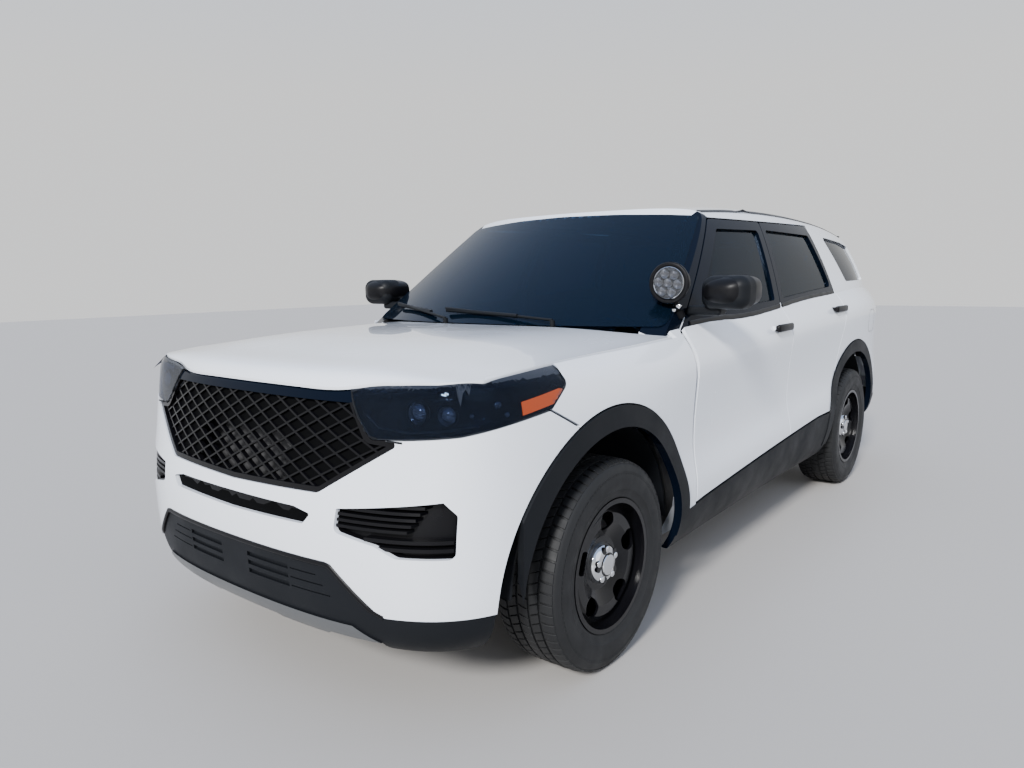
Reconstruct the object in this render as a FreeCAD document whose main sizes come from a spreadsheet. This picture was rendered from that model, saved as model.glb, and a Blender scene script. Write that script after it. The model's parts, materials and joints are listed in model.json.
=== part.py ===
"""Police patrol car: a mid-size four-door utility with a tailgate, on black steel wheels.

Frame: +Z up, the nose towards -Y, the car's left side at +X, origin on the ground under the
middle of the overall length. Millimetres. The body is cut from three free-form skins: the belt
of fascia, wings, doors and quarters, the bonnet, and the glasshouse. Each real panel is its own
solid, parted along the shut lines.
"""

import FreeCAD, Part
import Sketcher
import math
import os

from FreeCAD import Placement, Rotation, Vector

DIMENSIONS = [
    ("overall_length", 5049),
    ("overall_height", 1765),
    ("front_axle_y", -1650),
    ("wheelbase", 3025),
    ("wheel_plane_x", 851),
    ("tyre_radius", 381.6),
    ("tyre_width", 255),
    ("tyre_bead_radius", 228.6),
    ("rim_width", 216),
    ("rim_radius", 231),
    ("hub_bore_radius", 35.25),
    ("lug_circle_radius", 57.15),
    ("lug_hole_radius", 7),
    ("arch_radius", 490),
    ("arch_trim_radius", 566),
    ("shut_gap", 6),
    ("skin", 13),
    ("door_thickness", 95),
    ("frame_thickness", 46),
    ("glass_thickness", 5),
    ("hood_thickness", 24),
    ("hood_rear_y", -1100),
    ("door_front_y", -1012),
    ("pillar_b_y", 158),
    ("belt_front_z", 1185),
    ("seat_z", 720),
    ("floor_z", 330),
    ("roof_thickness", 26),
    ("engine_length", 620),
    ("engine_width", 560),
    ("engine_height", 520),
    ("disc_radius", 172),
    ("disc_thickness", 30),
    ("steering_wheel_radius", 186),
    ("steering_rim_radius", 15),
    ("spotlight_radius", 83),
    ("exhaust_radius", 30),
    ("tank_length", 560),
    ("tank_width", 760),
    ("tank_height", 200),
]

doc = FreeCAD.newDocument("patrol_car")
sheet = doc.addObject("Spreadsheet::Sheet", "sizes")
for row, (alias, value) in enumerate(DIMENSIONS, start=1):
    sheet.set(f"A{row}", alias)
    sheet.set(f"B{row}", str(value))
    sheet.setAlias(f"B{row}", alias)
doc.recompute()


def size(alias):
    """A driving dimension, read back from the sheet."""
    return float(getattr(sheet, alias))


HALF_LENGTH = size("overall_length") / 2
FRONT_AXLE = size("front_axle_y")
REAR_AXLE = FRONT_AXLE + size("wheelbase")
AXLE_Z = size("tyre_radius")
GAP = size("shut_gap")
SKIN = size("skin")
FAR = 1500.0
nodes = {}


# Small helpers


def feature(name, shape):
    """A free-form sub-part: a Part::Feature that holds one shape."""
    obj = doc.addObject("Part::Feature", name)
    obj.Label = name
    obj.Shape = shape
    nodes[name] = obj
    return obj


def lerp(a, b, share):
    return a + (b - a) * share


def smooth(share):
    share = min(1.0, max(0.0, share))
    return share * share * (3 - 2 * share)


def along(table, at):
    """Reads a list of (position, value), straight between the entries."""
    if at <= table[0][0]:
        return table[0][1]
    for (p0, v0), (p1, v1) in zip(table[:-1], table[1:]):
        if at <= p1:
            return lerp(v0, v1, (at - p0) / (p1 - p0))
    return table[-1][1]


def mirrored(shape):
    return shape.mirror(Vector(0, 0, 0), Vector(1, 0, 0))


def rounded_wire(points, to_3d):
    """A closed outline of (a, b, radius) corners: straight runs joined by tangent arcs."""
    edges, starts, ends = [], [], []
    count = len(points)
    for i, (a, b, radius) in enumerate(points):
        before = points[i - 1]
        after = points[(i + 1) % count]
        corner = Vector(a, b, 0)
        to_before = (Vector(before[0], before[1], 0) - corner).normalize()
        to_after = (Vector(after[0], after[1], 0) - corner).normalize()
        if radius <= 0:
            starts.append(corner)
            ends.append(corner)
            edges.append(None)
            continue
        half = to_before.getAngle(to_after) / 2
        reach = radius / math.tan(half)
        middle = (to_before + to_after).normalize() * (radius / math.sin(half))
        apex = corner + middle - (to_before + to_after).normalize() * radius
        starts.append(corner + to_before * reach)
        ends.append(corner + to_after * reach)
        edges.append(apex)
    wires = []
    for i in range(count):
        if edges[i] is not None:
            arc = Part.Arc(to_3d(starts[i]), to_3d(edges[i]), to_3d(ends[i]))
            wires.append(arc.toShape())
        following = (i + 1) % count
        if (starts[following] - ends[i]).Length > 1e-6:
            wires.append(Part.makeLine(to_3d(ends[i]), to_3d(starts[following])))
    return Part.Wire(wires)


def smooth_edge(points):
    curve = Part.BSplineCurve()
    curve.interpolate(points)
    return curve.toShape()


def side_prism(points, x_low=0.0, x_high=FAR):
    """A prism along X over an outline of (y, z, radius) corners."""
    wire = rounded_wire(points, lambda p: Vector(x_low, p.x, p.y))
    return Part.Face(wire).extrude(Vector(x_high - x_low, 0, 0))


def front_prism(points, y_low, y_high):
    """A prism along Y over an outline of (x, z, radius) corners."""
    wire = rounded_wire(points, lambda p: Vector(p.x, y_low, p.y))
    return Part.Face(wire).extrude(Vector(0, y_high - y_low, 0))


def top_prism(points, z_low, z_high):
    """A prism along Z over an outline of (x, y, radius) corners."""
    wire = rounded_wire(points, lambda p: Vector(p.x, p.y, z_low))
    return Part.Face(wire).extrude(Vector(0, 0, z_high - z_low))


def round_bar(start, end, radius):
    run = end - start
    return Part.makeCylinder(radius, run.Length, start, run)


def box(x0, x1, y0, y1, z0, z1):
    return Part.makeBox(x1 - x0, y1 - y0, z1 - z0, Vector(x0, y0, z0))


def soft_box(x0, x1, y0, y1, z0, z1, radius):
    solid = box(x0, x1, y0, y1, z0, z1)
    return solid.makeFillet(radius, solid.Edges)


# Free-form skins


def surface(grid):
    """A smooth surface hung on a grid of control points, clamped at its four edges."""
    rows, columns = len(grid), len(grid[0])
    skin = Part.BSplineSurface()

    def knots(count, degree):
        spans = count - degree
        return (
            [degree + 1] + [1] * (spans - 1) + [degree + 1],
            [float(i) for i in range(spans + 1)],
        )

    u_degree, v_degree = min(3, rows - 1), min(3, columns - 1)
    u_mults, u_knots = knots(rows, u_degree)
    v_mults, v_knots = knots(columns, v_degree)
    skin.buildFromPolesMultsKnots(
        grid, u_mults, v_mults, u_knots, v_knots, False, False, u_degree, v_degree
    )
    return skin


def plate(outer, inner, u_range=None, v_range=None):
    """The solid between two skins that share their parameters, or between patches of them."""
    skins = [outer.copy(), inner.copy()]
    u0, u1, v0, v1 = outer.bounds()
    u0, u1 = u_range or (u0, u1)
    v0, v1 = v_range or (v0, v1)
    for skin in skins:
        skin.segment(u0, u1, v0, v1)
    faces = [skin.toShape() for skin in skins]
    for iso, value in (("uIso", u0), ("uIso", u1), ("vIso", v0), ("vIso", v1)):
        rims = [getattr(skin, iso)(value).toShape() for skin in skins]
        faces.append(Part.makeRuledSurface(rims[0], rims[1]))
    shell = Part.makeShell(faces)
    shell.sewShape()
    solid = Part.makeSolid(shell)
    if solid.Volume < 0:
        solid.reverse()
    return solid


# The belt: one skin round the whole car from the sills up to the bonnet's edge and the windows.
# Each plan point carries a profile, a list of (inset from the plan outline, height).

PLAN = [
    (0, -HALF_LENGTH),
    (220, -2521),
    (430, -2505),
    (620, -2468),
    (780, -2400),
    (890, -2290),
    (950, -2150),
    (981, -1950),
    (995, -1650),
    (994, -1350),
    (988, -1080),
    (980, -750),
    (976, -350),
    (976, 50),
    (980, 450),
    (988, 850),
    (994, 1130),
    (995, 1375),
    (990, 1650),
    (980, 1900),
    (950, 2110),
    (895, 2290),
    (780, 2410),
    (600, 2475),
    (380, 2510),
    (180, 2523),
    (0, HALF_LENGTH),
]

NOSE = [
    (110, 250), (50, 275), (8, 335), (-2.5, 470), (-2.5, 600), (6, 700),
    (32, 800), (64, 930), (92, 1040), (114, 1082), (170, 1102),
]
CORNER = [
    (110, 250), (50, 290), (10, 350), (0, 470), (0, 600), (3, 700),
    (8, 800), (12, 930), (18, 1045), (32, 1116), (150, 1140),
]
WING = [
    (95, 250), (45, 300), (16, 380), (8, 480), (6, 600), (6, 720),
    (8, 840), (14, 950), (34, 1045), (78, 1104), (140, 1132),
]
FRONT_DOOR = [
    (100, 250), (50, 300), (12, 390), (0, 490), (3, 560), (37, 660),
    (36, 820), (22, 950), (8, 1045), (50, 1120), (96, size("belt_front_z")),
]
REAR_DOOR = [
    (100, 260), (50, 310), (12, 410), (0, 530), (4, 630), (34, 730),
    (32, 880), (18, 1020), (6, 1125), (50, 1195), (96, 1252),
]
QUARTER = [
    (110, 330), (60, 370), (20, 440), (8, 540), (6, 660), (10, 780),
    (14, 920), (10, 1060), (4, 1165), (48, 1232), (106, 1285),
]
TAIL = [
    (130, 340), (50, 370), (6, 440), (-1, 540), (2, 640), (30, 720),
    (62, 800), (66, 960), (72, 1120), (98, 1215), (140, 1275),
]
STATIONS = [
    (0, NOSE), (3, NOSE), (5, CORNER), (8, WING), (11, FRONT_DOOR), (15, REAR_DOOR),
    (18, QUARTER), (23, TAIL), (26, TAIL),
]
# How far each row's inner side drops as it goes inwards: none up the walls, more where they roll over.
ROLL = [0, 0, 0, 0, 0, 0, 0, 0, 12, 40, 62]
COLUMNS = len(PLAN)
ROWS = len(NOSE)


def profile_at(column, row):
    for (c0, first), (c1, second) in zip(STATIONS[:-1], STATIONS[1:]):
        if column <= c1:
            share = smooth((column - c0) / (c1 - c0))
            inset = lerp(first[row][0], second[row][0], share)
            return inset, lerp(first[row][1], second[row][1], share)
    return TAIL[row]


def plan_normal(column):
    before = PLAN[column - 1] if column else (-PLAN[1][0], PLAN[1][1])
    after = PLAN[column + 1] if column < COLUMNS - 1 else (-PLAN[-2][0], PLAN[-2][1])
    run = Vector(after[0] - before[0], after[1] - before[1], 0).normalize()
    return Vector(run.y, -run.x, 0)


def belt_pole(column, row, depth):
    """A control point of the belt, moved inwards by depth. Columns below zero are the right side."""
    side = -1 if column < 0 else 1
    column = abs(column)
    inset, height = profile_at(column, row)
    turn = math.radians(ROLL[row])
    normal = plan_normal(column)
    place = Vector(PLAN[column][0], PLAN[column][1], height)
    place = place - normal * (inset + depth * math.cos(turn))
    place.z -= depth * math.sin(turn)
    place.x *= side
    return place


def belt_skin(first, last, depth):
    """The belt from one plan column to another, at a depth below the outer face."""
    return surface(
        [[belt_pole(c, r, depth) for r in range(ROWS)] for c in range(first, last + 1)]
    )


# One wide patch for the left side, and one each for nose and tail, share columns, so their faces agree.
RING_FIRST, RING_LAST = -(COLUMNS - 2), COLUMNS - 1
ring_skins = {}


def ring(depth):
    if depth not in ring_skins:
        ring_skins[depth] = belt_skin(RING_FIRST, RING_LAST, depth)
    return ring_skins[depth]


def ring_plate(first, last, outer_depth, inner_depth):
    """A plate of the belt between two plan columns, between two depths."""
    spans = RING_LAST - RING_FIRST + 1 - 3

    def parameter(column):
        return min(spans, max(0.0, float(column - RING_FIRST - 1)))

    v0, v1 = ring(0).bounds()[2:]
    return plate(
        ring(outer_depth), ring(inner_depth), (parameter(first), parameter(last)), (v0, v1)
    )


# The glasshouse: sections across the car, from below the belt over the roof.
# y, half width at the belt, half width at the roof rail, rail height

GLASSHOUSE = [
    (-1300, 846, 664, 1602),
    (-1000, 868, 684, 1622),
    (-700, 880, 696, 1640),
    (-430, 884, 704, 1655),
    (0, 886, 712, 1668),
    (400, 888, 716, 1674),
    (850, 890, 716, 1674),
    (1300, 892, 708, 1662),
    (1650, 888, 694, 1646),
    (2000, 852, 668, 1620),
    (2320, 770, 636, 1588),
]
BELT_HEIGHTS = [(-1300, 1150), (-750, 1185), (850, 1252), (1650, 1285), (2320, 1285)]
ROOF_PEAK_Y = 400.0
ROOF_SAG = 4.1  # how far the smooth skin runs below its own control points
ROOF_DROP_FRONT = 65.0 / 960.0**2
ROOF_DROP_REAR = 104.0 / 1800.0**2


def roof_height(y):
    drop = ROOF_DROP_FRONT if y < ROOF_PEAK_Y else ROOF_DROP_REAR
    return size("overall_height") + ROOF_SAG - drop * (y - ROOF_PEAK_Y) ** 2


def glasshouse_half(y, belt, rail, rail_z, depth):
    """Half a section, from below the belt up to the middle of the roof, moved inwards by depth."""
    belt_z = along(BELT_HEIGHTS, y)
    top = roof_height(y)
    low = Vector(belt + 26, y, belt_z - 90)
    points = [low, Vector(belt, y, belt_z)]
    for share, bulge in ((0.25, 8), (0.5, 11), (0.78, 7)):
        x = lerp(belt, rail + 8, share) + bulge
        points.append(Vector(x, y, lerp(belt_z, rail_z, share)))
    points += [
        Vector(rail + 4, y, rail_z),
        Vector(rail - 26, y, lerp(rail_z, top, 0.42)),
        Vector(rail - 92, y, lerp(rail_z, top, 0.66)),
        Vector(rail * 0.66, y, lerp(rail_z, top, 0.87)),
        Vector(rail * 0.33, y, top - 3),
        Vector(0, y, top),
    ]
    turns = [12, 14, 18, 20, 22, 32, 58, 74, 82, 87, 90]
    for point, turn in zip(points, turns):
        point.x -= depth * math.cos(math.radians(turn))
        point.z -= depth * math.sin(math.radians(turn))
    points[-1].x = 0
    return points


glasshouse_skins = {}


def glasshouse(depth):
    if depth not in glasshouse_skins:
        grid = []
        for y, belt, rail, rail_z in GLASSHOUSE:
            half = glasshouse_half(y, belt, rail, rail_z, depth)
            other = [Vector(-p.x, p.y, p.z) for p in reversed(half[:-1])]
            grid.append(half + other)
        glasshouse_skins[depth] = surface(grid)
    return glasshouse_skins[depth]


ROOF_JOINT = 5.15  # the parameter across a section where the roof meets the body side


def side_wall(outer_depth, inner_depth):
    u0, u1, v0, v1 = glasshouse(0).bounds()
    return plate(
        glasshouse(outer_depth), glasshouse(inner_depth), (u0, u1), (v0, ROOF_JOINT)
    )


def roof_wall(outer_depth, inner_depth, joint=ROOF_JOINT):
    u0, u1, v0, v1 = glasshouse(0).bounds()
    return plate(
        glasshouse(outer_depth), glasshouse(inner_depth), (u0, u1), (joint, v1 - joint)
    )


def screen_skin(base, top, depth):
    """A window across the car. base and top are (middle y, side sweep, middle z, side drop, half
    width); a positive sweep puts the sides further back. depth goes into the car."""
    grid = []
    run = Vector(0, top[0] - base[0], top[2] - base[2]).normalize()
    into = Vector(0, run.z, -run.y)
    if base[0] > 0:
        into = Vector(0, -run.z, run.y)
    for share, bow in ((0, 0), (0.5, 7), (1, 0)):
        row = []
        middle = [lerp(b, t, share) for b, t in zip(base, top)]
        for reach, pull in ((-1, 1), (0, -1), (1, 1)):
            place = Vector(
                middle[4] * reach, middle[0] + middle[1] * pull, middle[2] - middle[3] * pull
            )
            row.append(place + into * (depth - bow))
        grid.append(row)
    return surface(grid)


WINDSCREEN = ((-1310, 280, 1180, 6, 930), (-536, 138, 1703, 31, 730))
BACKLIGHT = ((2388, -188, 1222, 0, 830), (2224, -92, 1650, 24, 668))


def screen_plate(screen, outer_depth, inner_depth):
    base, top = screen
    return plate(
        screen_skin(base, top, outer_depth), screen_skin(base, top, inner_depth)
    )


def stretched(screen, down, up, widen):
    """The same window, run further down and up its own slope and out to the sides."""
    base, top = (list(values) for values in screen)
    for i in range(5):
        slope = top[i] - base[i]
        base[i] -= slope * down
        top[i] += slope * up
    for end in (base, top):
        wider = (end[4] + widen) / end[4]
        end[1] *= wider**2
        end[3] *= wider**2
        end[4] += widen
    return base, top


def ahead_of(screen, depth):
    """A block that holds all that lies outside a window's face, at a depth below it."""
    return screen_plate(stretched(screen, 0.35, 0.5, 260), depth - 900, depth)


SCREEN_BED = 2 + size("glass_thickness")
windscreen_cut = ahead_of(WINDSCREEN, SCREEN_BED)
backlight_cut = ahead_of(BACKLIGHT, 50)


# Shut lines, seen from the side as (y, z, corner radius)

DOOR_FRONT = size("door_front_y")
PILLAR_B = size("pillar_b_y")


def arch_disc(axle, radius, x_low=0.0, x_high=FAR):
    return Part.makeCylinder(
        radius, x_high - x_low, Vector(x_low, axle, AXLE_Z + 8), Vector(1, 0, 0)
    )


DOOR_BOTTOM = 400.0
LINER_RADIUS = 508.0
front_door_outline = [
    (DOOR_FRONT + 3, DOOR_BOTTOM, 0),
    (PILLAR_B - 3, DOOR_BOTTOM, 0),
    (PILLAR_B + 4, 1215, 300),
    (PILLAR_B + 70, 1658, 18),
    (-388, 1648, 60),
    (-905, 1215, 60),
    (-978, 1160, 40),
]
front_window = [
    (-795, 1216, 26),
    (PILLAR_B - 56, 1252, 20),
    (PILLAR_B + 2, 1612, 22),
    (-342, 1602, 40),
]
rear_door_outline = [
    (PILLAR_B + 3, DOOR_BOTTOM, 0),
    (915, DOOR_BOTTOM, 0),
    (960, 780, 60),
    (1128, 1235, 160),
    (1035, 1669, 22),
    (PILLAR_B + 76, 1658, 18),
    (PILLAR_B + 10, 1215, 300),
]
rear_window = [
    (PILLAR_B + 62, 1258, 20),
    (1072, 1304, 30),
    (985, 1612, 24),
    (PILLAR_B + 118, 1618, 22),
]
quarter_window = [
    (1440, 1330, 30),
    (2104, 1336, 10),
    (2052, 1570, 10),
    (1800, 1592, 60),
    (1296, 1612, 24),
]


def shifted(points, inset):
    """An outline moved inwards, or outwards if inset is negative, for the step behind a skin."""
    wire = rounded_wire(points, lambda p: Vector(0, p.x, p.y))
    return Part.Face(wire.makeOffset2D(-inset)).extrude(Vector(FAR, 0, 0))


sill_block = side_prism(
    [(-1300, 100, 0), (1200, 100, 0), (1200, 560, 0), (610, 556, 120), (-935, 458, 90), (-1300, 420, 0)]
)
arch_clear = [
    arch_disc(axle, size("arch_trim_radius") + GAP) for axle in (FRONT_AXLE, REAR_AXLE)
]
sill_clear = side_prism(
    [(-1300, 90, 0), (1200, 90, 0), (1200, 571, 0), (610, 567, 120), (-935, 468, 90), (-1300, 430, 0)]
)


def cut_all(shape, tools):
    for tool in tools:
        shape = shape.cut(tool)
    return shape


def biggest(shape):
    return max(shape.Solids, key=lambda solid: solid.Volume)


side_skin = ring_plate(9, 19, 0, SKIN)
side_deep = ring_plate(9, 19, 4, size("door_thickness"))
wall_outer = side_wall(0, size("frame_thickness"))


def door(outline, window, clear):
    """A door: a skin over a thick inner box set back from the shut line, and a window frame."""
    whole = side_prism(outline)
    core = shifted(outline, 16)
    lower = side_skin.common(whole).fuse(side_deep.common(core))
    frame = wall_outer.cut(windscreen_cut).common(whole)
    solid = cut_all(lower.fuse(frame), clear)
    solid = solid.cut(side_prism(window))
    return biggest(solid.removeSplitter())


def pane(window):
    """A side window's glass, in the middle of its frame's thickness."""
    depth = 14.0
    sheet_of_glass = side_wall(depth, depth + size("glass_thickness"))
    return biggest(sheet_of_glass.common(shifted(window, 0.6)))


def handle(y, z, x):
    """A pull handle on the skin: a bar on two feet."""
    bar = soft_box(x + 14, x + 34, y - 105, y + 105, z - 15, z + 15, 9)
    feet = [
        box(x - 12, x + 22, y + at - 17, y + at + 17, z - 11, z + 11) for at in (-82, 82)
    ]
    return bar.fuse(feet)


front_left = door(front_door_outline, front_window, [sill_clear, arch_clear[0]])
rear_left = door(rear_door_outline, rear_window, [sill_clear, arch_clear[1]])
front_left = biggest(front_left.fuse(handle(20, 1118, 938)))
rear_left = biggest(rear_left.fuse(handle(990, 1172, 946)))
feature("door_front_left", front_left)
feature("door_front_right", mirrored(front_left))
feature("door_rear_left", rear_left)
feature("door_rear_right", mirrored(rear_left))
for name, window in (("glass_front", front_window), ("glass_rear", rear_window)):
    feature(name + "_left", pane(window))
    feature(name + "_right", mirrored(pane(window)))

# Mirrors: a rounded housing on an arm that stands on the door, at the corner of its window.

mirror_housing = soft_box(932, 1134, -948, -800, 1248, 1384, 48)
mirror_foot = soft_box(858, 1010, -905, -830, 1222, 1262, 14)
mirror = biggest(mirror_housing.fuse(mirror_foot).cut(front_left))
feature("mirror_left", mirror)
feature("mirror_right", mirrored(mirror))

# The body side: rocker, pillars, roof rail and quarter panel round the two door openings.

door_aperture = side_prism([
    (DOOR_FRONT - 3, 200, 0),
    (921, 200, 0),
    (921, 400, 0),
    (966, 780, 60),
    (1137, 1235, 160),
    (1054, 1677, 22),
    (-392, 1655, 60),
    (-911, 1219, 60),
    (-984, 1166, 40),
    (DOOR_FRONT - 3, 1140, 0),
])
inner_apertures = [
    shifted(front_door_outline, 48).cut(side_prism([
        (-1100, 0, 0), (300, 0, 0), (300, 500, 0), (-1100, 440, 0)])),
    shifted(rear_door_outline, 48).cut(side_prism([
        (0, 0, 0), (1200, 0, 0), (1200, 590, 0), (0, 540, 0)])),
]
inner_lower = ring_plate(8, 20, 103, 130).common(side_prism([
    (-1180, 420, 0), (1240, 420, 0), (1240, 1152, 0), (-1180, 1080, 0)]))
inner_upper = side_wall(54, 84).common(side_prism([
    (-1180, 1220, 0), (1240, 1296, 0), (1240, 1690, 0), (-500, 1690, 0), (-1180, 1240, 0)]))
inner_posts = [box(764, 812, y0, y1, 1040, z1) for y0, y1, z1 in (
    (-1130, -962, 1250), (96, 222, 1290))]
inner_wall = inner_lower.fuse([inner_upper] + inner_posts)
inner_wall = cut_all(inner_wall, inner_apertures + [windscreen_cut] + arch_clear)
sill_bar = side_prism(
    [(-1150, 318, 0), (980, 318, 0), (980, 520, 0), (610, 520, 0), (-935, 430, 0), (-1150, 410, 0)],
    800, 872,
).cut(arch_disc(REAR_AXLE, LINER_RADIUS + 2))
JACK_Y = [-900.0, 760.0]
jack_pads = [box(806, 866, y - 45, y + 45, 306, 320) for y in JACK_Y]
quarter_skin = ring_plate(15, 26, 0, 60)
tail_boundary = side_prism([
    (900, 280, 0), (2600, 280, 0), (2600, 752, 0), (1950, 752, 0), (1860, 640, 0), (1800, 280, 0)])
quarter = quarter_skin.cut(tail_boundary)
quarter = quarter.cut(backlight_cut.common(box(-748, 748, 2000, 2700, 1200, 1900)))
outer_side = wall_outer.cut(windscreen_cut).cut(backlight_cut)
outer_side = outer_side.fuse(quarter)
TAILGATE_HALF = 742.0
tailgate_clear = box(-TAILGATE_HALF - 6, TAILGATE_HALF + 6, 2150, 2700, 740, 1296)
LAMP_OUTLINE = [(2120, 985, 30), (2700, 940, 0), (2700, 1192, 0), (2160, 1150, 30)]
lamp_prism = side_prism(LAMP_OUTLINE, 700)
ROOF_END = 2146.0
spoiler_clear = box(-632, 632, ROOF_END + 4, 2600, 1600, 1900)
outer_side = cut_all(
    outer_side,
    [door_aperture, side_prism(quarter_window), tailgate_clear, lamp_prism, spoiler_clear]
    + arch_clear,
)
tie = box(770, 900, 1150, 1235, 900, 1235).common(ring_plate(15, 20, 20, 125))
body_side = outer_side.fuse([inner_wall, sill_bar, tie] + jack_pads)
quarter_pane = pane(quarter_window)
feature("glass_quarter", Part.makeCompound([quarter_pane, mirrored(quarter_pane)]))

# The roof, and the tailgate below its rear end.

roof = roof_wall(0, size("roof_thickness")).cut(windscreen_cut)
roof = biggest(roof.cut(box(-900, 900, ROOF_END, 2600, 1300, 1900)))
feature("roof_panel", roof)

GATE_BOTTOM = 758.0
gate_half = ring_plate(20, 26, 0, 62).common(
    box(0, TAILGATE_HALF, 2150, 2700, GATE_BOTTOM, 1290)
)
gate_lower = gate_half.fuse(mirrored(gate_half))
gate_outline = [
    (TAILGATE_HALF, 1230, 0),
    (TAILGATE_HALF, 1300, 0),
    (786, 1300, 12),
    (668, 1600, 60),
    (640, 1656, 20),
    (600, 1700, 0),
]
gate_zone = front_prism(
    gate_outline + [(-x, z, radius) for x, z, radius in reversed(gate_outline)], 2100, 2700
)
rear_window_half = [(668, 1318, 40), (602, 1602, 40)]
rear_window_zone = front_prism(
    rear_window_half + [(-x, z, radius) for x, z, radius in reversed(rear_window_half)],
    2100,
    2700,
)
gate_frame = screen_plate(stretched(BACKLIGHT, 0.1, 0.1, 60), 0, 44)
gate_frame = gate_frame.common(gate_zone).cut(rear_window_zone)
spoiler_plan = top_prism([
    (-600, ROOF_END + 10, 0), (600, ROOF_END + 10, 0), (622, 2250, 40), (560, 2318, 60),
    (-560, 2318, 60), (-622, 2250, 40)], 1300, 1900)
spoiler = roof_wall(0, 30, ROOF_JOINT).common(spoiler_plan)
spoiler_root = box(-560, 560, ROOF_END + 14, 2236, 1618, 1650)
plate_recess = box(-172, 172, 2440, 2700, 842, 1012)
tailgate = gate_lower.cut(plate_recess).fuse([gate_frame, spoiler, spoiler_root]).cut(
    box(-900, 900, 2000, ROOF_END + 10, 700, 1900)
)
tailgate = biggest(tailgate)
feature("tailgate", tailgate)
rear_glass = screen_plate(BACKLIGHT, 12, 12 + size("glass_thickness"))
rear_glass_half = [(667, 1319, 39), (601, 1601, 39)]
feature(
    "glass_tailgate",
    biggest(rear_glass.common(front_prism(
        rear_glass_half + [(-x, z, radius) for x, z, radius in reversed(rear_glass_half)],
        2100,
        2700,
    ))),
)

# The windscreen, bonded over the pillars' front faces.

WINDSCREEN_OUTLINE = [(855, 1184, 24), (690, 1661, 30), (520, 1672, 900), (300, 1682, 900)]
windscreen = screen_plate(stretched(WINDSCREEN, 0.35, 0.5, 260), 2, SCREEN_BED)
windscreen = windscreen.common(front_prism(
    [(0, 1189, 0)] + WINDSCREEN_OUTLINE + [(0, 1687, 0)]
    + [(-x, z, radius) for x, z, radius in reversed(WINDSCREEN_OUTLINE)], -1700, -200))
feature("windscreen", biggest(windscreen))

# The bonnet: a crowned panel with two long creases, its lip rolled down over the grille.

HOOD_REAR = size("hood_rear_y")
HOOD_CORNER_X, HOOD_CORNER_Y = 864.0, -2213.0
HOOD_TAIL = 896.0
HOOD_SWEEP = 262.0
REACH_HALF = [1.03, 0.97, 0.9, 0.82, 0.72, 0.6, 0.5, 0.36, 0.18]
REACHES = [-r for r in REACH_HALF] + [0] + REACH_HALF[::-1]
SEAM_X = [(HOOD_CORNER_Y, HOOD_CORNER_X), (-2080, 876), (-1900, 872), (-1650, 871), (-1350, 884),
          (-1090, HOOD_TAIL)]
CROWN = [(0, 62), (0.25, 61), (0.44, 59), (0.6, 50), (0.72, 38), (0.9, 14), (1, 0)]
CROWN_FADE = [(-2424, 0.2), (-2250, 0.55), (-1950, 0.92), (-1600, 1.0), (-1075, 0.72)]
LIP_HEIGHT = [(0, 1070), (400, 1071), (470, 1075), (560, 1085), (663, 1094), (750, 1099),
              (HOOD_CORNER_X, 1102)]
LIP_ROLL = [(-30, 1.9), (0, 1), (14, 0.5), (40, 0.14), (90, 0)]
HEM = [(0, 0.35), (60, 1)]  # the share of the full thickness, back from the front edge
HOOD_ROWS = [-0.012, 0, 0.008, 0.022, 0.05, 0.1, 0.18, 0.3, 0.45, 0.6, 0.8, 1, 1.02]


def seam_height(y):
    """The height of the belt's top where the bonnet meets it."""
    x = along(SEAM_X, y)
    line = Part.LineSegment(Vector(x, y, 900), Vector(x, y, 1300))
    hits = line.intersectCS(ring(0))[0]
    return max(hit.Z for hit in hits)


SEAM_Z = [(y, seam_height(y)) for y, x in SEAM_X]


def belt_front(x):
    """Where the belt's face stands in plan, at the height of the bonnet's front edge."""
    z = along(LIP_HEIGHT, x)
    line = Part.LineSegment(Vector(x, -2700, z), Vector(x, -2000, z))
    return min(hit.Y for hit in line.intersectCS(ring(0))[0])


FRONT_STATIONS = [0, 130, 260, 380, 480, 560, 630, 700, 760, 810, 842, HOOD_CORNER_X]
FRONT_LINE = [(x, belt_front(x)) for x in FRONT_STATIONS]


def hood_front(x):
    """The lip's line in plan, along the top of the grille and the lamps."""
    beyond = max(0, abs(x) - HOOD_CORNER_X)
    return along(FRONT_LINE, abs(x)) + 1.5 * beyond


def hood_rear(x):
    return HOOD_REAR - HOOD_SWEEP * (1 - (x / HOOD_TAIL) ** 2)


def hood_base(reach, y):
    """The bonnet's height before its front edge rolls down."""
    return along(SEAM_Z, y) + along(CROWN, min(1, abs(reach))) * along(CROWN_FADE, y)


def hood_point(reach, share, thickness, clear):
    front = hood_front(reach * HOOD_CORNER_X)
    y = lerp(front, hood_rear(reach * HOOD_TAIL), share)
    x = reach * along(SEAM_X, y)
    roll = hood_base(reach, front) - along(LIP_HEIGHT, abs(reach) * HOOD_CORNER_X)
    roll *= along(LIP_ROLL, y - front)
    edge = 55 * max(0, abs(reach) - 1)
    under = thickness * along(HEM, y - front) + clear
    return Vector(x, y, hood_base(reach, y) - roll - edge - under)


def hood_skin(thickness=0.0, clear=0.0):
    """The bonnet's face, a little larger than its plan, which trims it."""
    return surface([[hood_point(r, s, thickness, clear) for r in REACHES] for s in HOOD_ROWS])


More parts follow.
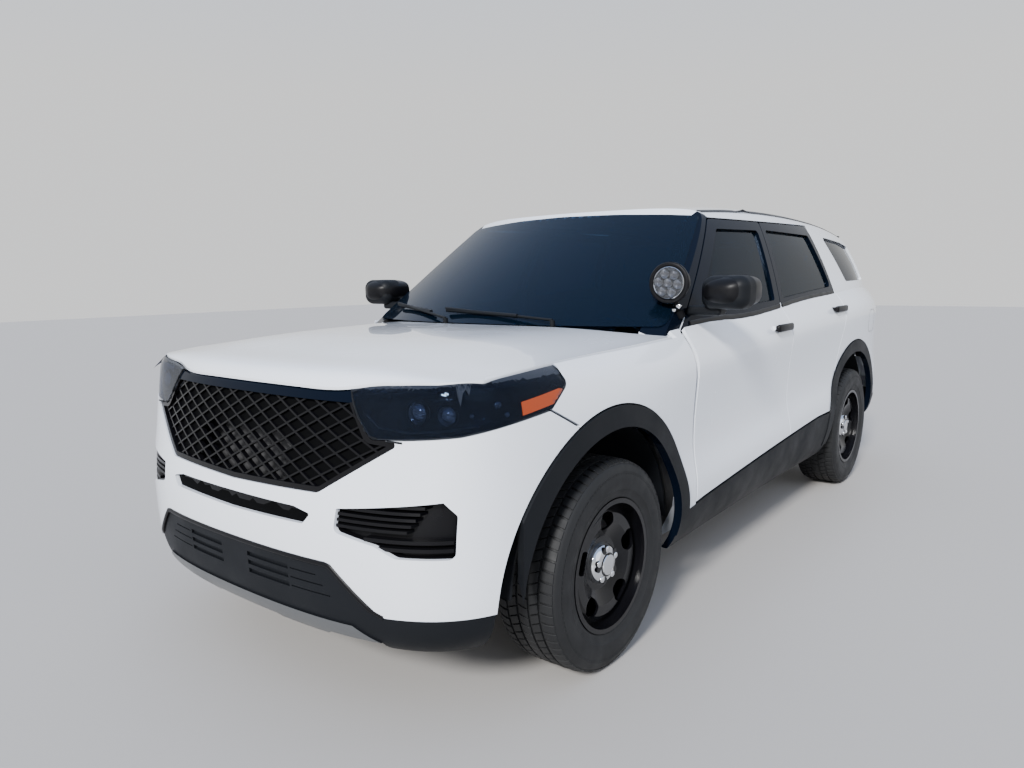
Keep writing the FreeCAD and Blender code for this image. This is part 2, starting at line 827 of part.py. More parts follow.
def hood_plan(grow):
    """A tall block over the bonnet's plan, grown on every side."""
    shares = [i / 6 for i in range(-6, 7)]
    stations = [-x for x in FRONT_STATIONS[:0:-1]] + FRONT_STATIONS
    front_path = []
    for x in stations:
        slope = (hood_front(x + 2) - hood_front(x - 2)) / 4
        outward = Vector(slope, -1, 0).normalize() * grow
        front_path.append(Vector(x, hood_front(x), 0) + outward)
    tail_y = HOOD_REAR + grow
    tail_x = along(SEAM_X, tail_y) + grow
    rear_path = [Vector(r * tail_x, hood_rear(r * HOOD_TAIL) + grow, 0) for r in shares]
    edges = [smooth_edge(front_path), smooth_edge(rear_path)]
    for side, corner, end in ((-1, front_path[0], rear_path[0]), (1, front_path[-1], rear_path[-1])):
        path = [corner]
        for y, x in SEAM_X[1:-1]:
            path.append(Vector(side * (x + grow), y, 0))
        path.append(end)
        edges.append(smooth_edge(path))
    face = Part.Face(Part.Wire(Part.__sortEdges__(edges)))
    face.translate(Vector(0, 0, 900))
    return face.extrude(Vector(0, 0, 600))


HOOD_THICKNESS = size("hood_thickness")
hood_clear = plate(hood_skin(clear=-300), hood_skin(HOOD_THICKNESS, 2 * GAP))
hood_clear = hood_clear.common(hood_plan(GAP + 1))
hood_block = hood_plan(GAP + 1)
hood = plate(hood_skin(), hood_skin(HOOD_THICKNESS))
feature("hood", biggest(hood.common(hood_plan(0))))

body_left = biggest(body_side.cut(hood_clear))
feature("body_side_left", body_left)
feature("body_side_right", mirrored(body_left))

# Dark cladding: a raised band round each wheel opening, and the rocker between them.

band = ring_plate(6, 20, -8, 26)
hoops = []
for axle in (FRONT_AXLE, REAR_AXLE):
    hoop = arch_disc(axle, size("arch_trim_radius")).cut(arch_disc(axle, size("arch_radius")))
    hoops.append(band.common(hoop).cut(box(600, 1100, -2600, 2600, 0, 352)))
rocker = ring_plate(8, 19, -3, 26).common(sill_block).cut(box(600, 1100, -2600, 2600, 0, 292))
rocker = cut_all(rocker, [arch_disc(axle, size("arch_radius")) for axle in (FRONT_AXLE, REAR_AXLE)])
cladding = biggest(rocker.fuse(hoops))
feature("cladding", Part.makeCompound([cladding, mirrored(cladding)]))

# Front wings, behind the lamps and ahead of the doors.

wing_zone = side_prism([
    (-2400, 995, 0),
    (-1998, 995, 0),
    (-1868, 925, 0),
    (-1868, 200, 0),
    (DOOR_FRONT - 3, 200, 0),
    (DOOR_FRONT - 3, 1166, 0),
    (-940, 1300, 0),
    (-2400, 1300, 0),
])


def lamp_zone(grow):
    """The headlamp's outline, drawn square to a view from 40 degrees off the nose."""
    corners = [
        (-1168, 1120, 0),
        (-540, 1120, 40),
        (-500, 1060, 22),
        (-556, 992, 24),
        (-824, 948, 0),
        (-985, 936, 0),
        (-1090, 930, 16),
        (-1140, 1000, 0),
    ]
    turn = math.radians(40)
    across = Vector(math.cos(turn), math.sin(turn), 0)
    away = Vector(math.sin(turn), -math.cos(turn), 0)

    def place(p):
        return across * p.x + Vector(0, 0, p.y) + away * 1200

    wire = rounded_wire(corners, place)
    if grow:
        wire = wire.makeOffset2D(grow)
    return Part.Face(wire).extrude(away * 1700)


lamp_cut = lamp_zone(3)
wing = ring_plate(3, 13, 0, SKIN).common(wing_zone)
corner_swing = 22  # how far the bonnet's rear corner swings back over the wing as it opens
corner_clear = hood_block.translated(Vector(0, corner_swing, 0))
corner_clear = corner_clear.common(box(800, 910, -1140, -1060, 1130, 1300))
wing = biggest(cut_all(wing, [arch_clear[0], lamp_cut, hood_block, corner_clear, cladding]))
feature("front_wings", Part.makeCompound([wing, mirrored(wing)]))

# Headlamps: wrap-round lenses over a deep housing.

lamp = ring_plate(2, 12, 3, 62).common(lamp_zone(0)).cut(hood_clear)
lamp = lamp.common(box(300, 1100, -2600, -1840, 900, 1160))
lamp = biggest(lamp)
feature("headlamps", Part.makeCompound([lamp, mirrored(lamp)]))

# The front fascia, with its openings for the grille, the slot below it, and the corner bezels.

GRILLE_HALF = [(482, 1072, 0), (580, 934, 24), (700, 926, 10), (424, 757, 50), (0, 745, 0)]


def symmetric(half):
    """A closed outline from its right half, from the top corner down to the middle."""
    right = [p for p in half if p[0] > 0]
    middle = [p for p in half if p[0] == 0]
    left = [(-x, z, radius) for x, z, radius in reversed(right)]
    return right + middle + left


def grown(outline, amount):
    """A block along Y over an outline of (x, z, radius) corners, grown on every side."""
    wire = rounded_wire(outline, lambda p: Vector(p.x, -2700, p.y)).makeOffset2D(amount)
    return Part.Face(wire).extrude(Vector(0, 700, 0))


GRILLE_OUTLINE = symmetric(GRILLE_HALF)
SLOT_OUTLINE = symmetric([(330, 706, 0), (404, 692, 6), (372, 657, 12), (0, 650, 0)])
BEZEL_OUTLINE = [(505, 722, 6), (819, 761, 0), (850, 722, 20), (847, 592, 20), (701, 594, 30),
                 (638, 626, 30), (499, 652, 20)]
LOW_OUTLINE = symmetric(
    [(470, 545, 30), (622, 418, 30), (660, 403, 0), (1100, 400, 0), (1100, 180, 0)])
grille_zone = grown(GRILLE_OUTLINE, 0)
slot_zone = grown(SLOT_OUTLINE, 0)
bezel_zone = grown(BEZEL_OUTLINE, 0)
low_zone = front_prism(LOW_OUTLINE, -2700, -1900)
fascia_zone = side_prism([
    (-2700, 200, 0), (-1874, 200, 0), (-1874, 918, 0), (-2002, 988, 0), (-2700, 988, 0)], -1100, 1100)
fascia_top = box(-480, 480, -2700, -2200, 980, 1066)
fascia = ring_plate(-9, 9, 0, SKIN + 2).common(fascia_zone.fuse(fascia_top))
fascia = cut_all(
    fascia,
    [grille_zone, slot_zone, bezel_zone, mirrored(bezel_zone), low_zone, lamp_cut,
     mirrored(lamp_cut), hood_clear, arch_clear[0], mirrored(arch_clear[0])],
)
feature("front_bumper", biggest(fascia))

SLIT_DEPTH = 13
slits = []
for z in (494, 464, 434):
    reach = 470 - (z - 434) * 0.9
    for side in (-1, 1):
        slits.append(box(min(side * 78, side * 290), max(side * 78, side * 290), -2700, -2200, z, z + 15))
        slits.append(box(min(side * 300, side * reach), max(side * 300, side * reach),
                         -2700, -2200, z + 4, z + 8))
slits = Part.makeCompound(slits).common(ring_plate(-6, 6, -60, SLIT_DEPTH))
low_fascia = ring_plate(-9, 9, 4, 4 + SKIN).common(low_zone)
LIP_OUTLINE = symmetric([
    (540, 356, 0), (618, 304, 0), (430, 304, 12), (408, 290, 12), (190, 290, 12), (168, 300, 10),
    (0, 300, 0)])
lip = ring_plate(-9, 9, -2, 4 + SKIN).common(grown(LIP_OUTLINE, 0))
low_fascia = cut_all(
    low_fascia,
    [arch_clear[0], mirrored(arch_clear[0]), slits, box(-1100, 1100, -1900, -1000, 0, 600),
     box(-1100, 1100, -2700, -1000, 0, 262), box(-616, 616, -2700, -2200, 0, 306)],
)
feature("front_lower_fascia", biggest(low_fascia.fuse(lip)))

# The grille: a deep frame round a mesh of wide diamonds, closed behind them but for the lower
# middle. The slot and the corner bezels have their own black inserts.

SEAT = SKIN + 2.2  # just behind the fascia's inner face
FRAME_WIDTH = 17.0
BAND_BOTTOM = 1028.0
CELL_WIDTH, CELL_HEIGHT, CELL_BAR = 92.0, 46.0, 6.0
CELL_ROWS = 13
CELL_COLUMNS = 8
OPEN_HALF, OPEN_LOW, OPEN_HIGH = 240.0, 775.0, 905.0


def cell(x, z):
    """One diamond of the mesh, as a block along Y."""
    half_w, half_h = CELL_WIDTH / 2, CELL_HEIGHT / 2
    slant = half_w * half_h / math.hypot(half_w, half_h)
    share = 1 - CELL_BAR / 2 / slant
    corners = [
        Vector(x + across * half_w * share, -2700, z + rise * half_h * share)
        for across, rise in ((-1, 0), (0, -1), (1, 0), (0, 1), (-1, 0))
    ]
    return Part.Face(Part.makePolygon(corners)).extrude(Vector(0, 500, 0))


mesh_zone = grown(GRILLE_OUTLINE, -FRAME_WIDTH).common(
    box(-800, 800, -2700, -2000, 700, BAND_BOTTOM))
closed_cells, open_cells = [], []
for row in range(CELL_ROWS):
    z = GRILLE_OUTLINE[3][1] + 4 + row * CELL_HEIGHT / 2
    for column in range(-CELL_COLUMNS, CELL_COLUMNS + 1):
        x = (column + row % 2 / 2) * CELL_WIDTH
        is_open = abs(x) < OPEN_HALF and OPEN_LOW < z < OPEN_HIGH
        (open_cells if is_open else closed_cells).append(cell(x, z))
closed_cells = Part.makeCompound(closed_cells).common(mesh_zone)
closed_cells = closed_cells.common(ring_plate(-6, 6, -40, 24))
mesh = ring_plate(-6, 6, 14, 30).common(grille_zone)
mesh = mesh.cut(closed_cells).cut(Part.makeCompound(open_cells))
frame_ring = ring_plate(-6, 6, 6, 34).common(grille_zone.cut(mesh_zone))
grille = biggest(cut_all(
    mesh.fuse(frame_ring), [hood_clear, lamp_cut, mirrored(lamp_cut)]))
slot_back = biggest(ring_plate(-6, 6, SEAT, 24).common(grown(SLOT_OUTLINE, 9)))


def bezel_insert():
    """A tray behind the corner opening, with two groups of level slats."""
    outline = BEZEL_OUTLINE
    tray = ring_plate(1, 9, SEAT, 44).common(grown(outline, 10))
    hollow = ring_plate(1, 9, 0, 36).common(grown(outline, -2))
    slats = []
    for z in (738, 720, 702, 684, 666):
        slats.append(box(480, 772 - (738 - z) * 0.6, -2700, -2000, z, z + 9))
    for z in (636, 612):
        slats.append(box(600, 838, -2700, -2000, z, z + 11))
    slats = Part.makeCompound(slats).common(ring_plate(1, 9, 8, 38)).common(grown(outline, -1))
    return biggest(tray.cut(hollow).fuse(slats.Solids))


bezel = bezel_insert()
feature("grille", Part.makeCompound([grille, slot_back, bezel, mirrored(bezel)]))

# Tail lamps, rear bumper and its dark lower half.

tail_lamp = ring_plate(18, 26, 2, 58).common(side_prism(
    [(2123, 988, 28), (2700, 944, 0), (2700, 1188, 0), (2163, 1147, 28)], TAILGATE_HALF + 6))
tail_lamp = biggest(tail_lamp)
feature("tail_lamps", Part.makeCompound([tail_lamp, mirrored(tail_lamp)]))

rear_zone = side_prism([
    (1806, 280, 0), (2600, 280, 0), (2600, 748, 0), (1954, 748, 0), (1866, 640, 0)], -1100, 1100)
half_ring = ring_plate(17, 26, 0, SKIN + 3).common(rear_zone)
whole_rear = half_ring.fuse(mirrored(half_ring))
arch_rear = [arch_clear[1], mirrored(arch_clear[1])]
whole_rear = cut_all(whole_rear, arch_rear)
dark_zone = box(-1100, 1100, 1700, 2600, 200, 520)
feature("rear_bumper", biggest(whole_rear.cut(dark_zone)))
dark = whole_rear.common(box(-1100, 1100, 1700, 2600, 200, 517))
feature("rear_lower_fascia", biggest(dark))

# The bulkhead and cowl, between the bonnet's rear edge and the windscreen.


def crescent(ahead, behind, z_low, z_high):
    """A block that follows the bonnet's rear edge, from ahead to behind of it."""
    rims = []
    for offset in (ahead, behind):
        path = [Vector(x, hood_rear(x) + offset, z_low) for x in (-850, -640, -320, 0, 320, 640, 850)]
        rims.append(smooth_edge(path))
    ends = [
        Part.makeLine(rims[0].Vertexes[i].Point, rims[1].Vertexes[i].Point) for i in (0, -1)
    ]
    face = Part.Face(Part.Wire(Part.__sortEdges__(rims + ends)))
    return face.extrude(Vector(0, 0, z_high - z_low))


cowl = crescent(-60, 40, 1040, 1098).fuse(crescent(12, 60, 1040, 1150))
cowl = cowl.cut(ahead_of(WINDSCREEN, 14).common(box(-1000, 1000, -1500, -900, 1150, 1300)))
firewall = box(-740, 740, -1180, -1150, 350, 1110)
shelf = box(-700, 700, -1330, -1150, 1040, 1070)
liners = []
for axle in (FRONT_AXLE, REAR_AXLE):
    shell = arch_disc(axle, LINER_RADIUS, 560, 906).cut(arch_disc(axle, 500, 540, 930))
    wall = arch_disc(axle, 504, 560, 568)
    if axle == FRONT_AXLE:
        wall = wall.common(box(500, 600, -2600, FRONT_AXLE - 400, 0, 1200))
    hoop = shell.fuse(wall).cut(box(500, 1000, -2600, 2600, -200, 420))
    liners.append(hoop)
front_liner = liners[0]
liner_set = [front_liner, mirrored(front_liner), liners[1], mirrored(liners[1])]
feature("wheel_liners", Part.makeCompound(liner_set))
bulkhead = cut_all(
    cowl.fuse([firewall, shelf]),
    [body_left, mirrored(body_left), arch_disc(FRONT_AXLE, LINER_RADIUS, 560, 906),
     arch_disc(FRONT_AXLE, LINER_RADIUS, -906, -560)],
)
feature("bulkhead", biggest(bulkhead))

# The floor: a pan with a tunnel and a step up to the load floor, and the rear wheel housings.

FLOOR = size("floor_z")
LOAD_FLOOR = 640.0
REAR_FLOOR = FLOOR + 100
KICK_UP = 400.0
pan = box(-796, 796, -1150, KICK_UP, FLOOR, FLOOR + 22)
riser = box(-796, 796, KICK_UP - 22, KICK_UP, FLOOR, REAR_FLOOR + 22)
rear_pan = box(-796, 796, KICK_UP - 22, 850, REAR_FLOOR, REAR_FLOOR + 22).fuse(
    box(-560, 560, 800, 1010, REAR_FLOOR, REAR_FLOOR + 22))
tunnel = box(-130, 130, -1150, KICK_UP, FLOOR, FLOOR + 120)
tunnel_hollow = box(-112, 112, -1200, KICK_UP - 22, FLOOR - 10, FLOOR + 102)
step = box(-560, 560, 990, 1012, REAR_FLOOR, LOAD_FLOOR)
load = box(-560, 560, 990, 2420, LOAD_FLOOR, LOAD_FLOOR + 22)
floor_pan = pan.fuse([riser, rear_pan, tunnel, step, load]).cut(tunnel_hollow)
floor_pan = biggest(floor_pan.removeSplitter())
feature("floor_pan", floor_pan)

# Seats: firm solids in the places and at the sizes of the real ones.


def seat(x, y, half, back_top, head_half):
    """One seat of a cushion, a leaning back and a head restraint."""
    z = size("seat_z") - 120
    cushion = soft_box(x - half, x + half, y, y + 500, z, z + 130, 40)
    lean = soft_box(x - half, x + half, -60, 60, 0, back_top - z - 60, 38)
    lean.rotate(Vector(0, 0, 0), Vector(1, 0, 0), -16)
    lean.translate(Vector(0, y + 490, z + 60))
    head = soft_box(x - head_half, x + head_half, -42, 42, 0, 190, 32)
    head.rotate(Vector(0, 0, 0), Vector(1, 0, 0), -16)
    reach = back_top - z - 20
    head.translate(Vector(0, y + 490 + reach * 0.2756, z + 40 + reach * 0.9613))
    posts = []
    for side in (-1, 1):
        low = Vector(x + side * 50, y + 490 + reach * 0.2, z + 40 + reach * 0.7)
        posts.append(round_bar(low, low + Vector(0, 70, 244), 8))
    base = box(x - half + 60, x + half - 60, y + 60, y + 440, FLOOR + 22, z + 20)
    return biggest(cushion.fuse([lean, head, base] + posts))


front_seats = [seat(x, -440, 250, 1130, 130) for x in (370, -370)]
feature("front_seats", Part.makeCompound(front_seats))
bench_low = soft_box(-600, 600, 480, 892, 560, 720, 40).fuse(
    soft_box(-545, 545, 800, 990, 580, 710, 40))
bench_back = soft_box(-552, 552, -60, 60, 0, 560, 38)
bench_back.rotate(Vector(0, 0, 0), Vector(1, 0, 0), -18)
bench_back.translate(Vector(0, 960, 640))
bench_foot = box(-520, 520, 560, 880, REAR_FLOOR + 22, 600)
feature("rear_seat", biggest(bench_low.fuse([bench_back, bench_foot]).cut(floor_pan)))

# The dashboard: one moulded beam with a hood over the instruments, and a centre stack.

dash_section = [
    (-1150, 760, 20), (-1150, 1120, 40), (-900, 1132, 60), (-770, 1040, 50), (-800, 900, 40),
    (-900, 740, 40),
]
dash = side_prism(dash_section, -680, 680)
binnacle = side_prism(
    [(-980, 1080, 0), (-940, 1168, 40), (-780, 1150, 30), (-760, 1040, 0)], 200, 540
)
stack = side_prism(
    [(-1100, 480, 0), (-1100, 900, 0), (-760, 980, 40), (-700, 620, 40), (-700, 480, 0)], -120, 120
)
console = soft_box(-110, 110, -760, 60, FLOOR + 120, 640, 30)
dashboard = biggest(dash.fuse([binnacle, stack, console]))

wheel_rim = doc.addObject("Part::Torus", "steering_rim")
wheel_rim.setExpression("Radius1", "sizes.steering_wheel_radius - sizes.steering_rim_radius")
wheel_rim.setExpression("Radius2", "sizes.steering_rim_radius")
doc.recompute()
spoke_reach = size("steering_wheel_radius") - size("steering_rim_radius")
spokes = [box(-spoke_reach, spoke_reach, -22, 22, -8, 8), box(-22, 22, 0, spoke_reach, -8, 8)]
hub = Part.makeCylinder(62, 36, Vector(0, 0, -22))
column = Part.makeCylinder(34, 210, Vector(0, 0, -222))
wheel_shape = wheel_rim.Shape.fuse(spokes + [hub, column])
wheel_shape.rotate(Vector(0, 0, 0), Vector(1, 0, 0), -66)
wheel_shape.translate(Vector(370, -640, 1040))
feature("steering_wheel", wheel_shape)
feature("dashboard", biggest(dashboard.cut(wheel_shape)))
doc.removeObject("steering_rim")

# Under the bonnet and the floor.

engine = doc.addObject("Part::Box", "engine")
engine.Label = "engine"
engine.setExpression("Length", "sizes.engine_width")
engine.setExpression("Width", "sizes.engine_length")
engine.setExpression("Height", "sizes.engine_height")
engine.Placement.Base = Vector(-size("engine_width") / 2, -2060, 430)
nodes["engine"] = engine


def mount_arm(start, end, radius, eye):
    """A suspension arm: a tapered bar with an eye at its inner end."""
    run = end - start
    arm = Part.makeCone(radius * 1.3, radius, run.Length, start, run)
    eye_solid = Part.makeCylinder(eye, 70, start - Vector(0, 35, 0), Vector(0, 1, 0))
    return arm.fuse(eye_solid)


cradle = [
    box(330, 410, -2180, -1160, 250, 330),
    box(-410, -330, -2180, -1160, 250, 330),
    box(-400, 400, -1760, -1540, 250, 320),
    box(-400, 400, -2180, -2100, 262, 322),
]
ENGINE_BOTTOM = 430.0
cradle += [box(230, 400, -1720, -1580, 300, ENGINE_BOTTOM),
           box(-400, -230, -1720, -1580, 300, ENGINE_BOTTOM)]
for side in (-1, 1):
    for along_y in (-110, 110):
        inner = Vector(side * 380, FRONT_AXLE + along_y, 290)
        cradle.append(mount_arm(inner, Vector(side * 600, FRONT_AXLE + along_y * 0.3, 292), 22, 34))
    cradle.append(Part.makeCylinder(30, 330, Vector(side * 588, FRONT_AXLE, 292), Vector(0, 0, 1)))
    cradle.append(Part.makeCylinder(62, 250, Vector(side * 578, FRONT_AXLE, 560)))
    cradle.append(box(side * 578 - 90, side * 578 + 90, FRONT_AXLE - 90, FRONT_AXLE + 90, 800, 830))
rails = [
    box(425, 500, -2380, -1180, 470, 590),
    box(-500, -425, -2380, -1180, 470, 590),
    box(-500, 500, -2400, -2340, 470, 590),
    box(-330, 330, -2376, -2340, 580, 1000),
]
cradle += rails
cradle.append(box(390, 460, -2150, -2060, 300, 500))
cradle.append(box(-460, -390, -2150, -2060, 300, 500))
for side in (-1, 1):
    cradle.append(box(min(side * 480, side * 590), max(side * 480, side * 590),
                      FRONT_AXLE - 60, FRONT_AXLE + 60, 520, 828))
front_frame = biggest(cradle[0].fuse(cradle[1:]))
feature("front_subframe", front_frame)

rear_parts = [
    box(-420, 420, REAR_AXLE - 160, REAR_AXLE - 90, 300, 380),
    box(-420, 420, REAR_AXLE + 90, REAR_AXLE + 160, 300, 380),
    box(360, 430, REAR_AXLE - 300, REAR_AXLE + 300, 300, 380),
    box(-430, -360, REAR_AXLE - 300, REAR_AXLE + 300, 300, 380),
    Part.makeSphere(105, Vector(0, REAR_AXLE, 380)),
    round_bar(Vector(-760, REAR_AXLE, AXLE_Z), Vector(760, REAR_AXLE, AXLE_Z), 19),
    box(395, 470, REAR_AXLE - 280, REAR_AXLE - 200, 370, LOAD_FLOOR),
    box(-470, -395, REAR_AXLE - 280, REAR_AXLE - 200, 370, LOAD_FLOOR),
    box(395, 470, REAR_AXLE + 200, REAR_AXLE + 280, 370, LOAD_FLOOR),
    box(-470, -395, REAR_AXLE + 200, REAR_AXLE + 280, 370, LOAD_FLOOR),
    box(-110, 110, REAR_AXLE - 130, REAR_AXLE + 130, 320, 360),
]
for side in (-1, 1):
    for along_y in (-125, 125):
        inner = Vector(side * 395, REAR_AXLE + along_y, 340)
        outer = Vector(side * 742, REAR_AXLE + along_y * 0.4, 330)
        rear_parts.append(mount_arm(inner, outer, 22, 34))
    carrier = Part.makeCylinder(58, 82, Vector(side * 728, REAR_AXLE, AXLE_Z), Vector(side, 0, 0))
    upright = box(min(side * 725, side * 775), max(side * 725, side * 775),
                  REAR_AXLE - 55, REAR_AXLE + 55, 280, 470)
    coil = Part.makeCylinder(56, LOAD_FLOOR - 380, Vector(side * 500, REAR_AXLE, 380))
    seat_arm = box(min(side * 440, side * 560), max(side * 440, side * 560),
                   REAR_AXLE - 60, REAR_AXLE + 60, 318, 384)
    rear_parts += [carrier, upright, coil, seat_arm]
rear_frame = biggest(rear_parts[0].fuse(rear_parts[1:]))
feature("rear_suspension", rear_frame)

tank = doc.addObject("Part::Box", "fuel_tank")
tank.Label = "fuel_tank"
tank.setExpression("Length", "sizes.tank_width")
tank.setExpression("Width", "sizes.tank_length")
tank.setExpression("Height", "sizes.tank_height")
tank.Placement.Base = Vector(-size("tank_width") / 2 + 60, 420, REAR_FLOOR - size("tank_height"))
nodes["fuel_tank"] = tank

exhaust_radius = size("exhaust_radius")
PIPE_X, PIPE_Z = -520.0, 258.0
pipe_run = [Vector(PIPE_X, -1060, PIPE_Z), Vector(PIPE_X, 1750, PIPE_Z), Vector(PIPE_X, 1980, 370)]
pipe = round_bar(pipe_run[0], pipe_run[1], exhaust_radius)
pipe = pipe.fuse([
    Part.makeSphere(exhaust_radius, pipe_run[1]),
    round_bar(pipe_run[1], pipe_run[2], exhaust_radius),
    soft_box(-560, 160, 1960, 2180, 320, 460, 60),
    round_bar(Vector(-500, 2170, 370), Vector(-500, 2260, 350), exhaust_radius),
    round_bar(Vector(-500, 2260, 350), Vector(-500, 2320, 300), exhaust_radius),
    Part.makeSphere(exhaust_radius, Vector(-500, 2260, 350)),
])
HANGER = 7
hangers = [round_bar(Vector(PIPE_X, y, PIPE_Z), Vector(PIPE_X, y, z), HANGER)
           for y, z in ((-800, FLOOR), (100, FLOOR), (700, REAR_FLOOR))]
hangers += [round_bar(Vector(x, 2070, 420), Vector(x, 2070, LOAD_FLOOR), HANGER) for x in (-450, 60)]
feature("exhaust", pipe.fuse(hangers))

# Wheels: tyre, pressed steel wheel with its brake disc, each turned about the wheel's own axis.

WHEEL_MID = 150.0  # the wheel's centre plane in its own frame, so that all its sizes are positive


def number(term):
    alias, factor, offset = term
    return size(alias) * factor + offset


def formula(term):
    alias, factor, offset = term
    return f"sizes.{alias} * {factor} + {offset}"


def revolved(name, corners):
    """A body turned about X from a closed profile of (x term, radius term) corners."""
    body = doc.addObject("PartDesign::Body", name)
    body.Label = name
    sketch = body.newObject("Sketcher::SketchObject", name + "_profile")
    plane = [f for f in body.Origin.OriginFeatures if f.Role == "XY_Plane"][0]
    sketch.AttachmentSupport = (plane, [""])
    sketch.MapMode = "FlatFace"
    spots = [Vector(number(a), number(b), 0) for a, b in corners]
    count = len(spots)
    for i in range(count):
        sketch.addGeometry(Part.LineSegment(spots[i], spots[(i + 1) % count]))
    for i in range(count):
        sketch.addConstraint(Sketcher.Constraint("Coincident", i, 2, (i + 1) % count, 1))
    for i, (a, b) in enumerate(corners):
        across = sketch.addConstraint(Sketcher.Constraint("DistanceX", -1, 1, i, 1, number(a)))
        sketch.setExpression(f"Constraints[{across}]", formula(a))
        out = sketch.addConstraint(Sketcher.Constraint("DistanceY", -1, 1, i, 1, number(b)))
        sketch.setExpression(f"Constraints[{out}]", formula(b))
    turn = body.newObject("PartDesign::Revolution", name + "_turn")
    turn.Profile = (sketch, [""])
    turn.ReferenceAxis = (sketch, ["H_Axis"])
    turn.Angle = 360
    doc.recompute()
    return body


TYRE_FACETS = 72


def tyre_ring(x, radius):
    """The corners of one ring of the tyre, square to the wheel's axis."""
    turns = [2 * math.pi * i / TYRE_FACETS for i in range(TYRE_FACETS)]
    return [Vector(x, radius * math.cos(turn), radius * math.sin(turn)) for turn in turns]


def tyre_body():
    """The tyre: flat facets joined from bead to bead, and round the bore for the wheel."""
    half = size("tyre_width") / 2
    profile = [
        (half - 25.5, size("rim_radius") + 0.8),
        (half - 25.5, size("rim_radius") + 5),
        (half, 302),
        (half - 10.5, size("tyre_radius") - 23.6),
        (half - 29.5, size("tyre_radius")),
    ]
    section = profile + [(-x, radius) for x, radius in reversed(profile)]
    rings = [tyre_ring(WHEEL_MID + x, radius) for x, radius in section]
    facets = []
    for ring_a, ring_b in zip(rings, rings[1:] + rings[:1]):
        for i in range(TYRE_FACETS):
            j = (i + 1) % TYRE_FACETS
            corners = [ring_a[i], ring_a[j], ring_b[j], ring_b[i], ring_a[i]]
            facets.append(Part.Face(Part.makePolygon(corners)))
    shell = Part.makeShell(facets)
    shell.sewShape()
    solid = Part.makeSolid(shell)
    if solid.Volume < 0:
        solid.reverse()
    return solid


OPENING_AT, OPENING_RADIUS, OPENING_SIDE = 160.0, 33.0, 9.0


def rim_body(name):
    out = "rim_radius"
    across = "rim_width"
    corners = [
        ((across, -0.5, WHEEL_MID - 7), (out, 1, 11)),
        ((across, -0.5, WHEEL_MID), (out, 1, 11)),
        ((across, -0.5, WHEEL_MID), (out, 1, 0)),
        ((across, 0.5, WHEEL_MID), (out, 1, 0)),
        ((across, 0.5, WHEEL_MID), (out, 1, 11)),
        ((across, 0.5, WHEEL_MID + 7), (out, 1, 11)),
        ((across, 0.5, WHEEL_MID + 7), (out, 1, -6)),
        ((across, 0, WHEEL_MID + 66), (out, 1, -9)),
        ((across, 0, WHEEL_MID + 88), (out, 0, 186)),
        ((across, 0, WHEEL_MID + 88), (out, 0, 150)),
        ((across, 0, WHEEL_MID + 62), (out, 0, 98)),
        ((across, 0, WHEEL_MID + 62), ("hub_bore_radius", 1, 0)),
        ((across, 0, WHEEL_MID + 53), ("hub_bore_radius", 1, 0)),
        ((across, 0, WHEEL_MID + 53), (out, 0, 102)),
        ((across, 0, WHEEL_MID + 78), (out, 0, 153)),
        ((across, 0, WHEEL_MID + 78), (out, 0, 182)),
        ((across, 0, WHEEL_MID + 54), (out, 1, -9)),
        ((across, -0.5, WHEEL_MID - 7), (out, 1, -6)),
    ]
    body = revolved(name, corners)
    sketch = body.newObject("Sketcher::SketchObject", name + "_opening")
    plane = [f for f in body.Origin.OriginFeatures if f.Role == "YZ_Plane"][0]
    sketch.AttachmentSupport = (plane, [""])
    sketch.MapMode = "FlatFace"
    for side in (-1, 1):
        middle = Vector(side * OPENING_SIDE, OPENING_AT, 0)
        arc_start = -side * math.pi / 2
        ring_of = Part.Circle(middle, Vector(0, 0, 1), OPENING_RADIUS)
        sketch.addGeometry(Part.ArcOfCircle(ring_of, arc_start, arc_start + math.pi))
        level = Vector(0, side * OPENING_RADIUS, 0)
        run = Vector(OPENING_SIDE, 0, 0)
        sketch.addGeometry(Part.LineSegment(Vector(0, OPENING_AT, 0) + level - run,
                                            Vector(0, OPENING_AT, 0) + level + run))
    pocket = body.newObject("PartDesign::Pocket", name + "_cut")
    pocket.Profile = (sketch, [""])
    pocket.Type = "ThroughAll"
    pocket.SideType = "Symmetric"
    doc.recompute()
    pattern = body.newObject("PartDesign::PolarPattern", name + "_openings")
    pattern.Originals = [pocket]
    axis = [f for f in body.Origin.OriginFeatures if f.Role == "X_Axis"][0]
    pattern.Axis = (axis, [""])
    pattern.Angle = 360
    pattern.Occurrences = 5
    body.Tip = pattern
    doc.recompute()
    return body


def placed_wheel(shape, side, axle):
    """A wheel shape from its own frame, outboard towards +X, set on its axle."""
    shape = shape.copy()
    shape.translate(Vector(-WHEEL_MID, 0, 0))
    if side < 0:
        shape.rotate(Vector(0, 0, 0), Vector(0, 0, 1), 180)
    shape.translate(Vector(side * size("wheel_plane_x"), axle, AXLE_Z))
    return shape


rim_master = rim_body("rim_master")
tyre_shape = tyre_body()
disc = Part.makeCylinder(
    size("disc_radius"), size("disc_thickness"), Vector(WHEEL_MID - 34, 0, 0), Vector(1, 0, 0))
hat = Part.makeCylinder(80, 86, Vector(WHEEL_MID - 33, 0, 0), Vector(1, 0, 0))
CAP_X = WHEEL_MID + 60
cap = Part.makeCone(76, 60, 26, Vector(CAP_X, 0, 0), Vector(1, 0, 0)).fuse(
    Part.makeCone(60, 36, 9, Vector(CAP_X + 26, 0, 0), Vector(1, 0, 0)))
lugs = []
for i in range(5):
    turn = 2 * math.pi * (i + 0.5) / 5
    reach = size("lug_circle_radius")
    spot = Vector(CAP_X, reach * math.cos(turn), reach * math.sin(turn))
    lugs.append(Part.makeCylinder(13, 32, spot, Vector(1, 0, 0)))
rim_shape = biggest(rim_master.Shape.fuse([disc, hat, cap] + lugs))
